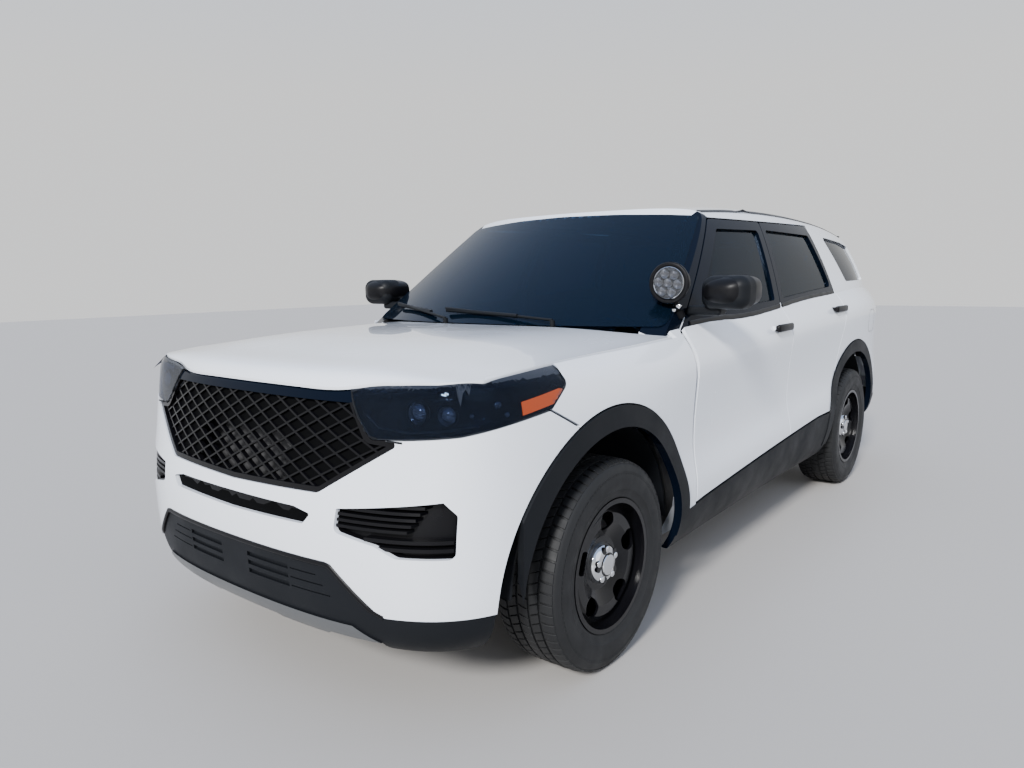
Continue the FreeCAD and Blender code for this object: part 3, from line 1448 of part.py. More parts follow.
rim_master.removeObjectsFromDocument()
doc.removeObject(rim_master.Name)
for end, axle in (("front", FRONT_AXLE), ("rear", REAR_AXLE)):
    for side_name, side in (("left", 1), ("right", -1)):
        feature(f"tyre_{end}_{side_name}", placed_wheel(tyre_shape, side, axle))
        feature(f"rim_{end}_{side_name}", placed_wheel(rim_shape, side, axle))

# Steering knuckles, with the brake calipers, inside the front wheels.


def knuckle(side):
    x0 = size("wheel_plane_x")
    bearing = Part.makeCylinder(56, 105, Vector(x0 - 145, 0, 0), Vector(1, 0, 0))
    upright = box(x0 - 150, x0 - 102, -44, 44, -112, 150)
    arm = box(x0 - 150, x0 - 110, 30, 150, -40, -8)
    saddle = box(x0 - 92, x0 + 30, -70, 70, 118, 208)
    saddle = saddle.cut(Part.makeCylinder(180, 42, Vector(x0 - 40, 0, 0), Vector(1, 0, 0)))
    saddle = saddle.cut(Part.makeCylinder(300, 400, Vector(x0 - 200, 0, 0), Vector(1, 0, 0)).cut(
        Part.makeCylinder(212, 400, Vector(x0 - 200, 0, 0), Vector(1, 0, 0))))
    saddle.rotate(Vector(0, 0, 0), Vector(1, 0, 0), 62)
    bridge = box(x0 - 150, x0 - 80, -40, 40, 100, 140)
    bridge.rotate(Vector(0, 0, 0), Vector(1, 0, 0), 62)
    solid = biggest(bearing.fuse([upright, arm, saddle, bridge]))
    solid.translate(Vector(0, FRONT_AXLE, AXLE_Z))
    return solid if side > 0 else mirrored(solid)


feature("knuckle_left", knuckle(1))
feature("knuckle_right", knuckle(-1))

# The pillar lamp on the driver's side, and the wipers.

lamp_axis = Vector(0.12, -0.99, 0.02).normalize()
lamp_face = Vector(829, -1004, 1357)
can = Part.makeCone(size("spotlight_radius"), size("spotlight_radius") - 16, 74, lamp_face,
                    lamp_axis * -1)
post = round_bar(Vector(836, -962, 1300), Vector(848, -950, 1236), 11)
collar = round_bar(Vector(846, -952, 1246), Vector(852, -938, 1216), 22)
feature("spotlight", biggest(can.fuse([post, collar]).cut(body_left)))

SCREEN_BOW = 6.0


def glass_point(x, rise, off):
    """A point over the windscreen: across the car, up from its base, and off its face."""
    base, top = WINDSCREEN
    share = rise / (top[2] - base[2])
    middle = lerp(base[0], top[0], share)
    sweep = lerp(base[1], top[1], share) * (x / lerp(base[4], top[4], share)) ** 2
    off += SCREEN_BOW
    return Vector(x, middle + sweep - 0.556 * off, base[2] + rise + 0.831 * off)


def wiper(boss_x, tip_x, tip_rise):
    start = glass_point(boss_x, 4, 26)
    arm = round_bar(start, glass_point(tip_x, tip_rise, 24), 6)
    blade = round_bar(glass_point(lerp(boss_x, tip_x, 0.3), tip_rise * 0.6, 14),
                      glass_point(tip_x, tip_rise, 14), 9)
    boss = Part.makeCylinder(11, start.z - 1070, Vector(start.x, start.y, 1070), Vector(0, 0, 1))
    return biggest(arm.fuse([blade, boss]))


wipers = [wiper(430, -190, 46), wiper(-130, -680, 60)]
feature("wipers", Part.makeCompound([biggest(one.cut(bulkhead)) for one in wipers]))

# The finished pieces, each checked before it is written.

os.makedirs("parts", exist_ok=True)
doc.recompute()
for name, obj in nodes.items():
    if {"Invalid", "Error"} & set(obj.State) or obj.Shape.isNull() or not obj.Shape.isValid():
        raise ValueError(f"{name} is not a sound solid")
    print(name, round(obj.Shape.Volume / 1e6, 2), len(obj.Shape.Solids), len(obj.Shape.Faces))
    obj.Shape.exportStep(f"parts/{name}.step")
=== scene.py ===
"""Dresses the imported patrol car: paint, mouldings, glass, lamps, tyres, seats and small trim."""

import json
import math

import bmesh
import bpy
from mathutils import Matrix, Vector
from mathutils.bvhtree import BVHTree


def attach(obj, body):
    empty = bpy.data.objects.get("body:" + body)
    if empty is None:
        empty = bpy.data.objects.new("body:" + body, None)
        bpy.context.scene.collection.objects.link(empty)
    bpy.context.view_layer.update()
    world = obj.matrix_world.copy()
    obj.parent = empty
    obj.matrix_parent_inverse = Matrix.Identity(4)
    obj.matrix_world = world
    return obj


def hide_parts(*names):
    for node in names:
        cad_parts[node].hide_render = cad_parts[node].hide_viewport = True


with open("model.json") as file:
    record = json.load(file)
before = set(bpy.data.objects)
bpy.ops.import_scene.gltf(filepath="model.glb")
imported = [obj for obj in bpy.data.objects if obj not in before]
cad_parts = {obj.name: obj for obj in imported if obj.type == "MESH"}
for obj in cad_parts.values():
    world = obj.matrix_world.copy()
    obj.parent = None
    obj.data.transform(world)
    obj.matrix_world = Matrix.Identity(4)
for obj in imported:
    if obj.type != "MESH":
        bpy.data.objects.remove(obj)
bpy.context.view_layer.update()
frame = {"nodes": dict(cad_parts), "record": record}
NODES = frame["nodes"]

LEFT, RIGHT = 1, -1
SIDES = (("left", LEFT), ("right", RIGHT))
ENDS = ("front", "rear")
UP = Vector((0, 0, 1))
FORWARD = Vector((0, -1, 0))
BACKWARD = Vector((0, 1, 0))
AHEAD, BEHIND, BESIDE = -2.8, 2.9, 1.3  # planes clear of the body, where search lines start


# Finishes


def shader(name, colour, roughness, metallic=0.0, **settings):
    """A finish with one Principled shader; settings are the shader's own socket names."""
    material = bpy.data.materials.new(name)
    material.use_nodes = True
    node = material.node_tree.nodes["Principled BSDF"]
    node.inputs["Base Color"].default_value = (*colour, 1)
    node.inputs["Roughness"].default_value = roughness
    node.inputs["Metallic"].default_value = metallic
    for socket, value in settings.items():
        node.inputs[socket.replace("_", " ")].default_value = value
    return material


def noise_of(material, scale, detail):
    """A noise texture in the piece's own coordinates."""
    nodes, links = material.node_tree.nodes, material.node_tree.links
    place = nodes.new("ShaderNodeTexCoord")
    noise = nodes.new("ShaderNodeTexNoise")
    noise.inputs["Scale"].default_value = scale
    noise.inputs["Detail"].default_value = detail
    links.new(place.outputs["Object"], noise.inputs["Vector"])
    return noise


def grain(material, scale, strength, distance):
    """A fine moulded, cast or orange-peel grain."""
    nodes, links = material.node_tree.nodes, material.node_tree.links
    noise = noise_of(material, scale, 3.0)
    bump = nodes.new("ShaderNodeBump")
    bump.inputs["Strength"].default_value = strength
    bump.inputs["Distance"].default_value = distance
    links.new(noise.outputs["Fac"], bump.inputs["Height"])
    links.new(bump.outputs["Normal"], nodes["Principled BSDF"].inputs["Normal"])
    return material


def worn(material, scale, low, high):
    """Lets the roughness wander between two values, as handling and washing leave it."""
    nodes, links = material.node_tree.nodes, material.node_tree.links
    noise = noise_of(material, scale, 4.0)
    spread = nodes.new("ShaderNodeMapRange")
    spread.inputs["From Min"].default_value = 0.3
    spread.inputs["From Max"].default_value = 0.7
    spread.inputs["To Min"].default_value = low
    spread.inputs["To Max"].default_value = high
    links.new(noise.outputs["Fac"], spread.inputs["Value"])
    links.new(spread.outputs["Result"], nodes["Principled BSDF"].inputs["Roughness"])
    return material


def tinted(name, colour, see_through, sheen=(1, 1, 1), bend=1.45, roughness=0.02):
    """A see-through finish; sheen colours its reflections and bend is its index of refraction."""
    return shader(
        name, colour, roughness, Transmission_Weight=see_through, IOR=bend, Specular_Tint=(*sheen, 1)
    )


white_paint = worn(shader(
    "white paint", (0.79, 0.83, 0.90), 0.22, Coat_Weight=1.0, Coat_Roughness=0.02, Coat_IOR=1.5,
), 3.0, 0.18, 0.28)
moulding_grey = worn(grain(
    shader("grained moulding", (0.006, 0.007, 0.009), 0.5, Specular_IOR_Level=0.14), 900, 0.3, 0.0004,
), 6, 0.44, 0.6)
gloss_black = worn(shader(
    "gloss black", (0.002, 0.004, 0.009), 0.12, Specular_IOR_Level=0.07, Specular_Tint=(0.5, 0.66, 1, 1),
), 5, 0.08, 0.16)
satin_black = worn(shader(
    "satin black", (0.004, 0.004, 0.005), 0.34, Specular_IOR_Level=0.15,
), 8, 0.28, 0.42)
# Near-black and almost without reflection: painted shade for the grille's blind cell floors and the slot
# back, darker than the bars in front of them
shaded_pocket_black = grain(shader(
    "grille pockets painted shade", (0.0012, 0.0013, 0.0016), 0.8, Specular_IOR_Level=0.05,
), 500, 0.2, 0.0004)
mesh_black = worn(shader(
    "grille mesh", (0.003, 0.003, 0.004), 0.22, Specular_IOR_Level=0.2,
), 9, 0.16, 0.3)
lamp_red = grain(shader(
    "red lens", (0.20, 0.003, 0.005), 0.07, Specular_IOR_Level=0.2,
), 60, 0.06, 0.001)
amber_lens = worn(shader(
    "amber lens", (0.30, 0.040, 0.006), 0.16, Specular_IOR_Level=0.4,
), 20, 0.1, 0.2)
smoked_lens = worn(tinted(
    "smoked lens", (0.15, 0.18, 0.26), 0.98, (0.45, 0.65, 1), 1.2, 0.015,
), 6, 0.01, 0.03)
window_tint = worn(tinted(
    "tinted window", (0.010, 0.028, 0.050), 0.86, (0.25, 0.5, 0.95), 1.15,
), 4, 0, 0.012)
screen_tint = worn(tinted(
    "tinted windscreen", (0.012, 0.034, 0.070), 0.88, (0.2, 0.45, 0.95), 1.22,
), 4, 0, 0.012)
privacy_glass = worn(tinted(
    "privacy glass", (0.003, 0.007, 0.012), 0.3, (0.25, 0.5, 0.95), 1.12,
), 4, 0, 0.012)
clear_lens = worn(tinted("clear lens", (0.93, 0.95, 0.98), 1.0), 6, 0.01, 0.03)
lamp_bowl = worn(shader("lamp housing", (0.020, 0.024, 0.034), 0.3, 0.4), 12, 0.22, 0.36)
trim_black = grain(shader("cabin moulding", (0.030, 0.030, 0.032), 0.6), 700, 0.3, 0.0005)
seat_cloth = grain(shader(
    "seat cloth", (0.040, 0.040, 0.045), 0.85, Sheen_Weight=0.3,
), 1500, 0.5, 0.0006)
underbody = worn(grain(
    shader("underbody seal", (0.030, 0.030, 0.032), 0.7), 260, 0.4, 0.001,
), 5, 0.6, 0.8)
casting = worn(grain(
    shader("painted casting", (0.055, 0.055, 0.058), 0.6, 0.3), 240, 0.4, 0.001,
), 7, 0.5, 0.7)
exhaust_steel = worn(grain(
    shader("exhaust steel", (0.36, 0.33, 0.30), 0.38, 1.0), 120, 0.1, 0.001,
), 9, 0.3, 0.5)
rubber = worn(grain(
    shader("tyre rubber", (0.010, 0.0105, 0.0115), 0.62, Specular_IOR_Level=0.3), 420, 0.25, 0.0005,
), 14, 0.5, 0.72)
wheel_black = worn(shader(
    "wheel black", (0.003, 0.003, 0.004), 0.2, Specular_IOR_Level=0.3,
), 9, 0.14, 0.26)
chrome = worn(shader("chrome", (0.66, 0.67, 0.69), 0.06, 1.0), 14, 0.03, 0.10)
lamp_cup = worn(shader("lamp reflector", (0.13, 0.13, 0.14), 0.1, 1.0), 14, 0.06, 0.16)
silver_plastic = worn(grain(
    shader("silver plastic", (0.11, 0.115, 0.12), 0.34, 0.4), 600, 0.1, 0.0003,
), 7, 0.28, 0.4)
disc_iron = worn(grain(
    shader("disc iron", (0.20, 0.20, 0.21), 0.38, 0.9), 300, 0.15, 0.0006,
), 11, 0.3, 0.5)
mirror_glass = worn(shader("mirror glass", (0.82, 0.84, 0.86), 0.02, 1.0), 5, 0.01, 0.03)

SLOT_FINISHES = {
    "white_paint": white_paint,
    "dark_cladding": moulding_grey,
    "grille_black": satin_black,
    "lamp_smoke": smoked_lens,
    "lamp_red": lamp_red,
    "tinted_glass": window_tint,
    "interior_trim": trim_black,
    "seat_cloth": seat_cloth,
    "underbody": underbody,
    "chassis_iron": casting,
    "exhaust_steel": exhaust_steel,
    "tyre_rubber": rubber,
    "wheel_black": wheel_black,
}
for row in frame["record"]["subparts"]:
    piece = NODES[row["node"]]
    piece.data.materials.clear()
    piece.data.materials.append(SLOT_FINISHES[row["material_slot"]])
NODES["windscreen"].data.materials[0] = screen_tint
for node in ("glass_quarter", "glass_tailgate"):
    NODES[node].data.materials[0] = privacy_glass


def repaint(node, material, chosen):
    """Gives part of a node another finish: the faces that chosen(corners, normal) accepts."""
    mesh = NODES[node].data
    mesh.materials.append(material)
    index = len(mesh.materials) - 1
    normals = mesh.corner_normals
    for face in mesh.polygons:
        corners = [mesh.vertices[i].co for i in face.vertices]
        normal = sum((normals[i].vector for i in face.loop_indices), Vector()).normalized()
        if chosen(corners, normal):
            face.material_index = index


# Making pieces


def finished(name, mesh, body, smooth=40):
    """Makes an object of a mesh that is already in place, and lets it ride on a body."""
    piece = bpy.data.objects.new(name, mesh)
    bpy.context.scene.collection.objects.link(piece)
    mesh.shade_smooth()
    mesh.set_sharp_from_angle(angle=math.radians(smooth))
    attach(piece, body)
    return piece


def to_mesh(shape, name):
    bmesh.ops.recalc_face_normals(shape, faces=shape.faces)
    mesh = bpy.data.meshes.new(name)
    shape.to_mesh(mesh)
    shape.free()
    return mesh


def evaluated(name, mesh, build):
    """The mesh after build(object) has set its modifiers, as a plain mesh."""
    holder = bpy.data.objects.new(name, mesh)
    bpy.context.scene.collection.objects.link(holder)
    build(holder)
    seen = holder.evaluated_get(bpy.context.evaluated_depsgraph_get())
    result = bpy.data.meshes.new_from_object(seen)
    bpy.data.objects.remove(holder)
    return result


def thickened(name, mesh, thickness):
    def build(holder):
        wall = holder.modifiers.new("wall", "SOLIDIFY")
        wall.thickness = thickness
        wall.offset = -1
        wall.use_even_offset = True
    return evaluated(name, mesh, build)


def joined(name, meshes):
    """One mesh of several, each with its own finishes kept."""
    shape = bmesh.new()
    finishes = []
    for mesh in meshes:
        start = len(shape.faces)
        shape.from_mesh(mesh)
        shape.faces.ensure_lookup_table()
        order = []
        for material in mesh.materials:
            if material not in finishes:
                finishes.append(material)
            order.append(finishes.index(material))
        for face in shape.faces[start:]:
            face.material_index = order[face.material_index] if order else 0
    result = bpy.data.meshes.new(name)
    shape.to_mesh(result)
    shape.free()
    for material in finishes:
        result.materials.append(material)
    return result


def mirrored(mesh):
    """A copy of a mesh on the car's other side."""
    shape = bmesh.new()
    shape.from_mesh(mesh)
    for vertex in shape.verts:
        vertex.co.x = -vertex.co.x
    bmesh.ops.reverse_faces(shape, faces=shape.faces)
    other = bpy.data.meshes.new(mesh.name + "_mirrored")
    shape.to_mesh(other)
    shape.free()
    for material in mesh.materials:
        other.materials.append(material)
    return other


def neighbours(rings, closed=False):
    pairs = list(zip(rings, rings[1:]))
    if closed:
        pairs.append((rings[-1], rings[0]))
    return pairs


def bridge(shape, rings, closed=False):
    """Skins rings of vertices, each to the next; unless they close up, both ends get a face."""
    for a, b in neighbours(rings, closed):
        for i in range(len(a)):
            j = (i + 1) % len(a)
            shape.faces.new((a[i], a[j], b[j], b[i]))
    if not closed:
        shape.faces.new(rings[0])
        shape.faces.new(rings[-1])


def frame_along(axis, place):
    """The matrix that stands local Z along an axis, at a place."""
    turn = UP.rotation_difference(axis.normalized()).to_matrix().to_4x4()
    return Matrix.Translation(place) @ turn


def leaning(place, degrees=0.0):
    """The matrix that turns about X and then sets down at a place."""
    return Matrix.Translation(place) @ Matrix.Rotation(math.radians(degrees), 4, "X")


def lathe(profile, segments):
    """Turns (height, radius) points about Z into a closed shape; the first and last may be poles."""
    shape = bmesh.new()
    rings = []
    for height, radius in profile:
        if radius < 1e-6:
            rings.append([shape.verts.new((0, 0, height))])
            continue
        rings.append([
            shape.verts.new((
                radius * math.cos(2 * math.pi * i / segments),
                radius * math.sin(2 * math.pi * i / segments), height,
            ))
            for i in range(segments)
        ])
    hollow = len(rings[0]) > 1 and len(rings[-1]) > 1
    for a, b in neighbours(rings, hollow):
        for i in range(segments):
            j = (i + 1) % segments
            corners = [a[i % len(a)], a[j % len(a)], b[j % len(b)], b[i % len(b)]]
            unique = list(dict.fromkeys(corners))
            if len(unique) > 2:
                shape.faces.new(unique)
    return shape


def soft_block(size, radius, steps=3):
    """A box with rounded edges, centred on its own origin."""
    shape = bmesh.new()
    bmesh.ops.create_cube(shape, size=1)
    for vertex in shape.verts:
        vertex.co = Vector(c * s for c, s in zip(vertex.co, size))
    bmesh.ops.bevel(
        shape, geom=shape.edges[:], offset=radius, segments=steps, profile=0.5, affect="EDGES"
    )
    return shape


def placed(shape, name, matrix, material):
    """The mesh of a shape moved by a matrix, with one finish."""
    shape.transform(matrix)
    mesh = to_mesh(shape, name)
    mesh.materials.append(material)
    return mesh


STRIP_SECTION = ((-0.5, -1), (-0.5, 0.5), (-0.32, 0.92), (0, 1), (0.32, 0.92), (0.5, 0.5), (0.5, -1))


def strip(name, points, normals, width, height, material, closed=False, sink=0.002):
    """A low rounded moulding along a line over a surface, with its foot just below the skin."""
    shape = bmesh.new()
    rings = []
    count = len(points)
    for i, (point, normal) in enumerate(zip(points, normals)):
        before = points[i - 1] if i or closed else point
        after = points[(i + 1) % count] if i < count - 1 or closed else point
        run = (after - before).normalized()
        across = run.cross(normal).normalized()
        up = across.cross(run).normalized()
        rings.append([
            shape.verts.new(point + across * (a * width) + up * (h * height if h > 0 else -sink))
            for a, h in STRIP_SECTION
        ])
    bridge(shape, rings, closed)
    mesh = to_mesh(shape, name)
    mesh.materials.append(material)
    return mesh


def search_tree(*nodes):
    """A search tree over CAD nodes, to find places on their faces."""
    shape = bmesh.new()
    for node in nodes:
        shape.from_mesh(NODES[node].data)
    tree = BVHTree.FromBMesh(shape)
    shape.free()
    return tree


def touch(tree, start, direction):
    """Where a line from start first meets the tree's faces, and the face's direction there."""
    place, normal, _, _ = tree.ray_cast(Vector(start), Vector(direction).normalized())
    return place, normal


def evenly(points, step):
    """The same broken line, with its runs divided into steps of about the given length."""
    result = [Vector(points[0])]
    for a, b in zip(points, points[1:]):
        a, b = Vector(a), Vector(b)
        count = max(1, round((b - a).length / step))
        result += [a.lerp(b, i / count) for i in range(1, count + 1)]
    return result


# Geometry trees for what repeats


def tree_of_parts(name, result, *sockets):
    """A tree that sets the piece's own shape on points and gives the copies a finish."""
    tree = bpy.data.node_groups.new(name, "GeometryNodeTree")
    keys = {}
    for label, kind in (("Part", "Geometry"), *sockets, ("Finish", "Material")):
        socket = tree.interface.new_socket(label, in_out="INPUT", socket_type="NodeSocket" + kind)
        keys[label.lower()] = socket.identifier
    tree.interface.new_socket(result, in_out="OUTPUT", socket_type="NodeSocketGeometry")
    nodes, links = tree.nodes, tree.links
    source = nodes.new("NodeGroupInput")
    copies = nodes.new("GeometryNodeInstanceOnPoints")
    real = nodes.new("GeometryNodeRealizeInstances")
    finish = nodes.new("GeometryNodeSetMaterial")
    sink = nodes.new("NodeGroupOutput")
    links.new(source.outputs["Part"], copies.inputs["Instance"])
    links.new(copies.outputs["Instances"], real.inputs["Geometry"])
    links.new(real.outputs["Geometry"], finish.inputs["Geometry"])
    links.new(source.outputs["Finish"], finish.inputs["Material"])
    links.new(finish.outputs["Geometry"], sink.inputs[result])
    return tree, keys, source, copies


def ring_of_parts():
    """Copies round a circle about Z, facing outwards."""
    tree, keys, source, copies = tree_of_parts(
        "ring of parts", "Ring", ("Count", "Int"), ("Radius", "Float")
    )
    nodes, links = tree.nodes, tree.links
    circle = nodes.new("GeometryNodeMeshCircle")
    place = nodes.new("GeometryNodeInputPosition")
    face_out = nodes.new("FunctionNodeAlignRotationToVector")
    face_out.axis = "X"
    face_out.pivot_axis = "Z"
    links.new(source.outputs["Count"], circle.inputs["Vertices"])
    links.new(source.outputs["Radius"], circle.inputs["Radius"])
    links.new(place.outputs["Position"], face_out.inputs["Vector"])
    links.new(circle.outputs["Mesh"], copies.inputs["Points"])
    links.new(face_out.outputs["Rotation"], copies.inputs["Rotation"])
    return tree, keys


def row_of_parts():
    """Copies in a straight row, a step apart."""
    tree, keys, source, copies = tree_of_parts(
        "row of parts", "Row", ("Count", "Int"), ("Step", "Vector")
    )
    line = tree.nodes.new("GeometryNodeMeshLine")
    line.mode = "OFFSET"
    tree.links.new(source.outputs["Count"], line.inputs["Count"])
    tree.links.new(source.outputs["Step"], line.inputs["Offset"])
    tree.links.new(line.outputs["Mesh"], copies.inputs["Points"])
    return tree, keys


RING_TREE, RING_KEYS = ring_of_parts()
ROW_TREE, ROW_KEYS = row_of_parts()


def repeated(name, part, tree, keys, **values):
    """A part's shape repeated by a tree, as one plain mesh."""
    def build(holder):
        pattern = holder.modifiers.new("pattern", "NODES")
        pattern.node_group = tree
        for label, value in values.items():
            pattern[keys[label]] = value
    return evaluated(name, to_mesh(part, name + "_part"), build)


def ring_mesh(name, part, count, radius, material):
    return repeated(name, part, RING_TREE, RING_KEYS, count=count, radius=radius, finish=material)


def row_mesh(name, part, count, step, material):
    return repeated(name, part, ROW_TREE, ROW_KEYS, count=count, step=step, finish=material)


# Paint lines: black window frames, pulls and pillars on a white body, a silver skid lip


def middle_of(corners):
    return sum(corners, Vector()) / len(corners)


def inside(outline, a, b, margin=0.0006):
    """Whether a point lies in a closed outline of (a, b) corners, or within a margin of it."""
    crossed = False
    for (a0, b0), (a1, b1) in zip(outline, outline[1:] + outline[:1]):
        run = Vector((a1 - a0, b1 - b0))
        share = max(0, min(1, Vector((a - a0, b - b0)).dot(run) / run.length_squared))
        if (Vector((a, b)) - Vector((a0, b0)) - run * share).length < margin:
            return True
        if (b0 > b) != (b1 > b) and a < a0 + (b - b0) * (a1 - a0) / (b1 - b0):
            crossed = not crossed
    return crossed


HANDLES = {"front": (0.020, 1.118), "rear": (0.990, 1.172)}
HANDLE_HALF = (0.107, 0.0165)
HANDLE_DEPTH = 0.9445
STEEP = 0.47  # how far the window frame's wall leans at most, as its normal's height
BELT_RISE = ((-1.012, 1.160), (0.158, 1.215), (1.13, 1.262))


def belt_height(y):
    """How high the doors' belt line runs, along the car."""
    for (y0, z0), (y1, z1) in zip(BELT_RISE[:-1], BELT_RISE[1:]):
        if y <= y1:
            break
    return z0 + (z1 - z0) * (y - y0) / (y1 - y0)


def on_handle(end, sign):
    y, z = HANDLES[end]
    return lambda corners, normal: all(
        abs(c.y - y) < HANDLE_HALF[0] and abs(c.z - z) < HANDLE_HALF[1] and c.x * sign > HANDLE_DEPTH
        for c in corners
    )


def in_frame(corners, normal):
    """The window frame above the belt: a steep wall, or the edges of its opening."""
    middle = middle_of(corners)
    belt = belt_height(middle.y)
    if min(c.z for c in corners) > belt + 0.012:
        return True
    return middle.z > belt - 0.06 and abs(normal.x) > 0.86 and 0.2 < normal.z < STEEP


PILLAR_END, PILLAR_FOOT = -0.372, 1.168
COWL_ENDS, COWL_HALF, COWL_LOW = (-1.16, -0.92), 0.893, 1.14


def on_pillar(corners, normal):
    """The windscreen pillar, and the corner under the screen's end that the cowl hides."""
    if all(c.y < PILLAR_END and c.z > PILLAR_FOOT for c in corners):
        return True
    middle = middle_of(corners)
    return COWL_ENDS[0] < middle.y < COWL_ENDS[1] and abs(middle.x) < COWL_HALF and middle.z > COWL_LOW


def faces_cabin(sign):
    return lambda corners, normal: normal.x * sign < -0.5


for side, sign in SIDES:
    for end in ENDS:
        door = f"door_{end}_{side}"
        repaint(door, gloss_black, in_frame)
        repaint(door, trim_black, faces_cabin(sign))
        repaint(door, satin_black, on_handle(end, sign))
    repaint(f"body_side_{side}", gloss_black, on_pillar)
    repaint(f"body_side_{side}", trim_black, faces_cabin(sign))
    repaint(f"body_side_{side}", underbody, lambda corners, normal: all(
        c.y < -1.0 and abs(c.x) < 0.9 and c.z < 1.0 for c in corners
    ))


# The nose: a silver lip on the lower fascia, and a grille whose blind cells and slot back are painted
# darkest, as painted shade

SKID_HALF = ((0.540, 0.356), (0.618, 0.304), (0.430, 0.304), (0.408, 0.290), (0.190, 0.290),
             (0.168, 0.300))
SKID_LINE = list(SKID_HALF) + [(-x, z) for x, z in reversed(SKID_HALF)]
repaint(
    "front_lower_fascia", silver_plastic,
    lambda corners, normal: normal.y < -0.3 and all(inside(SKID_LINE, c.x, c.z) for c in corners)
    and all(c.y < -2.35 + abs(c.x) * 0.1 for c in corners),
)
BAND_LOW, MESH_LOW, SLOT_TOP, TOP = 1.0275, 0.70, 0.712, 2.0
# Bands of the grille; the lowest, the slot's back, is painted near-black as shade
for material, half_width, low, high in (
    (mesh_black, 0.80, MESH_LOW, BAND_LOW), (gloss_black, 0.62, BAND_LOW, TOP),
    (shaded_pocket_black, 0.43, 0, SLOT_TOP),
):
    repaint("grille", material, lambda corners, normal: all(
        abs(c.x) < half_width and low < c.z < high for c in corners
    ))
CELL_SIZE, FACING = 0.098, -0.7


def cell_floors(mesh):
    """The faces at the bottom of the grille's blind diamonds: small patches that face forward."""
    def spots_of(index):
        for i in mesh.polygons[index].vertices:
            yield tuple(round(c, 5) for c in mesh.vertices[i].co)

    facing = [face.index for face in mesh.polygons if face.normal.y <= FACING]
    touching = {}
    for index in facing:
        for spot in spots_of(index):
            touching.setdefault(spot, []).append(index)
    found, seen = set(), set()
    for start in facing:
        if start in seen:
            continue
        patch, waiting = [], [start]
        seen.add(start)
        while waiting:
            index = waiting.pop()
            patch.append(index)
            ahead = {other for spot in spots_of(index) for other in touching[spot]} - seen
            seen |= ahead
            waiting += sorted(ahead)
        across = [mesh.vertices[i].co.x for index in patch for i in mesh.polygons[index].vertices]
        if max(across) - min(across) < CELL_SIZE:
            found.update(patch)
    return found


# The blind cells' floors are painted near-black: painted shade of the deep cells
grille_mesh = NODES["grille"].data
grille_mesh.materials.append(shaded_pocket_black)
for index in cell_floors(grille_mesh):
    grille_mesh.polygons[index].material_index = len(grille_mesh.materials) - 1


# The arches' glossy inner lips, and the brake discs inside the wheels

AXLE = {"front": Vector((0, -1.650, 0.3816)), "rear": Vector((0, 1.375, 0.3816))}
ARCH_LIP, ARCH_RISE = 0.4915, 0.008
WHEEL_PLANE, DISC_RADIUS = 0.851, 0.1725


def within(corners, axle, radius, rise=0.0):
    """Whether all corners lie within a radius of an axle, seen from the side."""
    return all(math.hypot(c.y - axle.y, c.z - axle.z - rise) < radius for c in corners)


repaint("cladding", gloss_black, lambda corners, normal: any(
    within(corners, axle, ARCH_LIP, ARCH_RISE) for axle in AXLE.values()
))
for side, sign in SIDES:
    for end in ENDS:
        repaint(f"rim_{end}_{side}", disc_iron, lambda corners, normal: within(
            corners, AXLE[end], DISC_RADIUS
        ) and all(c.x * sign < WHEEL_PLANE - 0.003 for c in corners))


def at_wheel(mesh, end, sign):
    """A copy of a left wheel's piece, made about its own middle, set at one of the wheels."""
    mesh = mesh.copy()
    if sign < 0:
        mesh.transform(Matrix.Rotation(math.pi, 4, "Z"))
    mesh.transform(Matrix.Translation((sign * WHEEL_PLANE, AXLE[end].y, AXLE[end].z)))
    return mesh


# Tyres: a bulged carcass with grooves, and rows of tread blocks set round it by the ring tree

TYRE_HALF = 0.1275
TREAD_RADIUS = 0.3813
BEAD_RADIUS = 0.2318
GROOVE_FLOOR = 0.3738


def carcass_profile():
    """Half of the tyre's section from the bead to the middle of the tread, as (x, radius)."""
    side = [
        (0.101, BEAD_RADIUS), (0.1045, 0.240), (0.1100, 0.2445), (0.1135, 0.2465), (0.1150, 0.2490),
        (0.1150, 0.2520), (0.1185, 0.262), (0.1222, 0.276), (0.1236, 0.2775), (0.1238, 0.2800),
        (0.1262, 0.296), (TYRE_HALF, 0.308), (0.1268, 0.324), (0.1248, 0.338), (0.1254, 0.3400),
        (0.1240, 0.3425), (0.1200, 0.3560), (0.1150, 0.3630), (0.1060, 0.3700), (0.0960, GROOVE_FLOOR),
    ]
    return side + [(0.060, GROOVE_FLOOR), (0.020, GROOVE_FLOOR)]


def crown(x):
    """How far the tread's surface stands from the axle, across its width."""
    return TREAD_RADIUS - 0.14 * x**2 - max(0, abs(x) - 0.085) * 0.30


def tread_block(low_x, high_x, length, slant):
    """One block of the tread, its foot on the groove floor; local X is outwards, Z across."""
    shape = bmesh.new()
    middle = (low_x + high_x) / 2
    stations = [low_x, low_x * 0.75 + high_x * 0.25, middle, low_x * 0.25 + high_x * 0.75, high_x]
    rows = []
    for x in stations:
        edge = 0.0011 if x in (low_x, high_x) else 0
        top = crown(x) - GROOVE_FLOOR - edge
        foot = -0.003 if abs(x) < 0.1 else -0.008
        lean = slant * (x - middle)
        taper = 0.0008
        rows.append([
            shape.verts.new((height, y + lean, x))
            for height, y in (
                (foot, -length / 2), (top - 0.0008, -length / 2 + taper), (top, -length / 2 + 2 * taper),
                (top, length / 2 - 2 * taper), (top - 0.0008, length / 2 - taper), (foot, length / 2),
            )
        ])
    bridge(shape, rows)
    return shape


TREAD_ROWS = (
    (-0.1125, -0.0700, 66, 0.0300, 0.16, 0.0),
    (-0.0610, -0.0275, 66, 0.0325, -0.42, 0.5),
    (-0.0180, 0.0180, 66, 0.0335, 0.30, 0.2),
    (0.0275, 0.0610, 66, 0.0325, -0.42, 0.7),
    (0.0700, 0.1125, 66, 0.0300, 0.16, 0.35),
)
TO_AXLE = Matrix.Rotation(math.radians(90), 4, "Y")


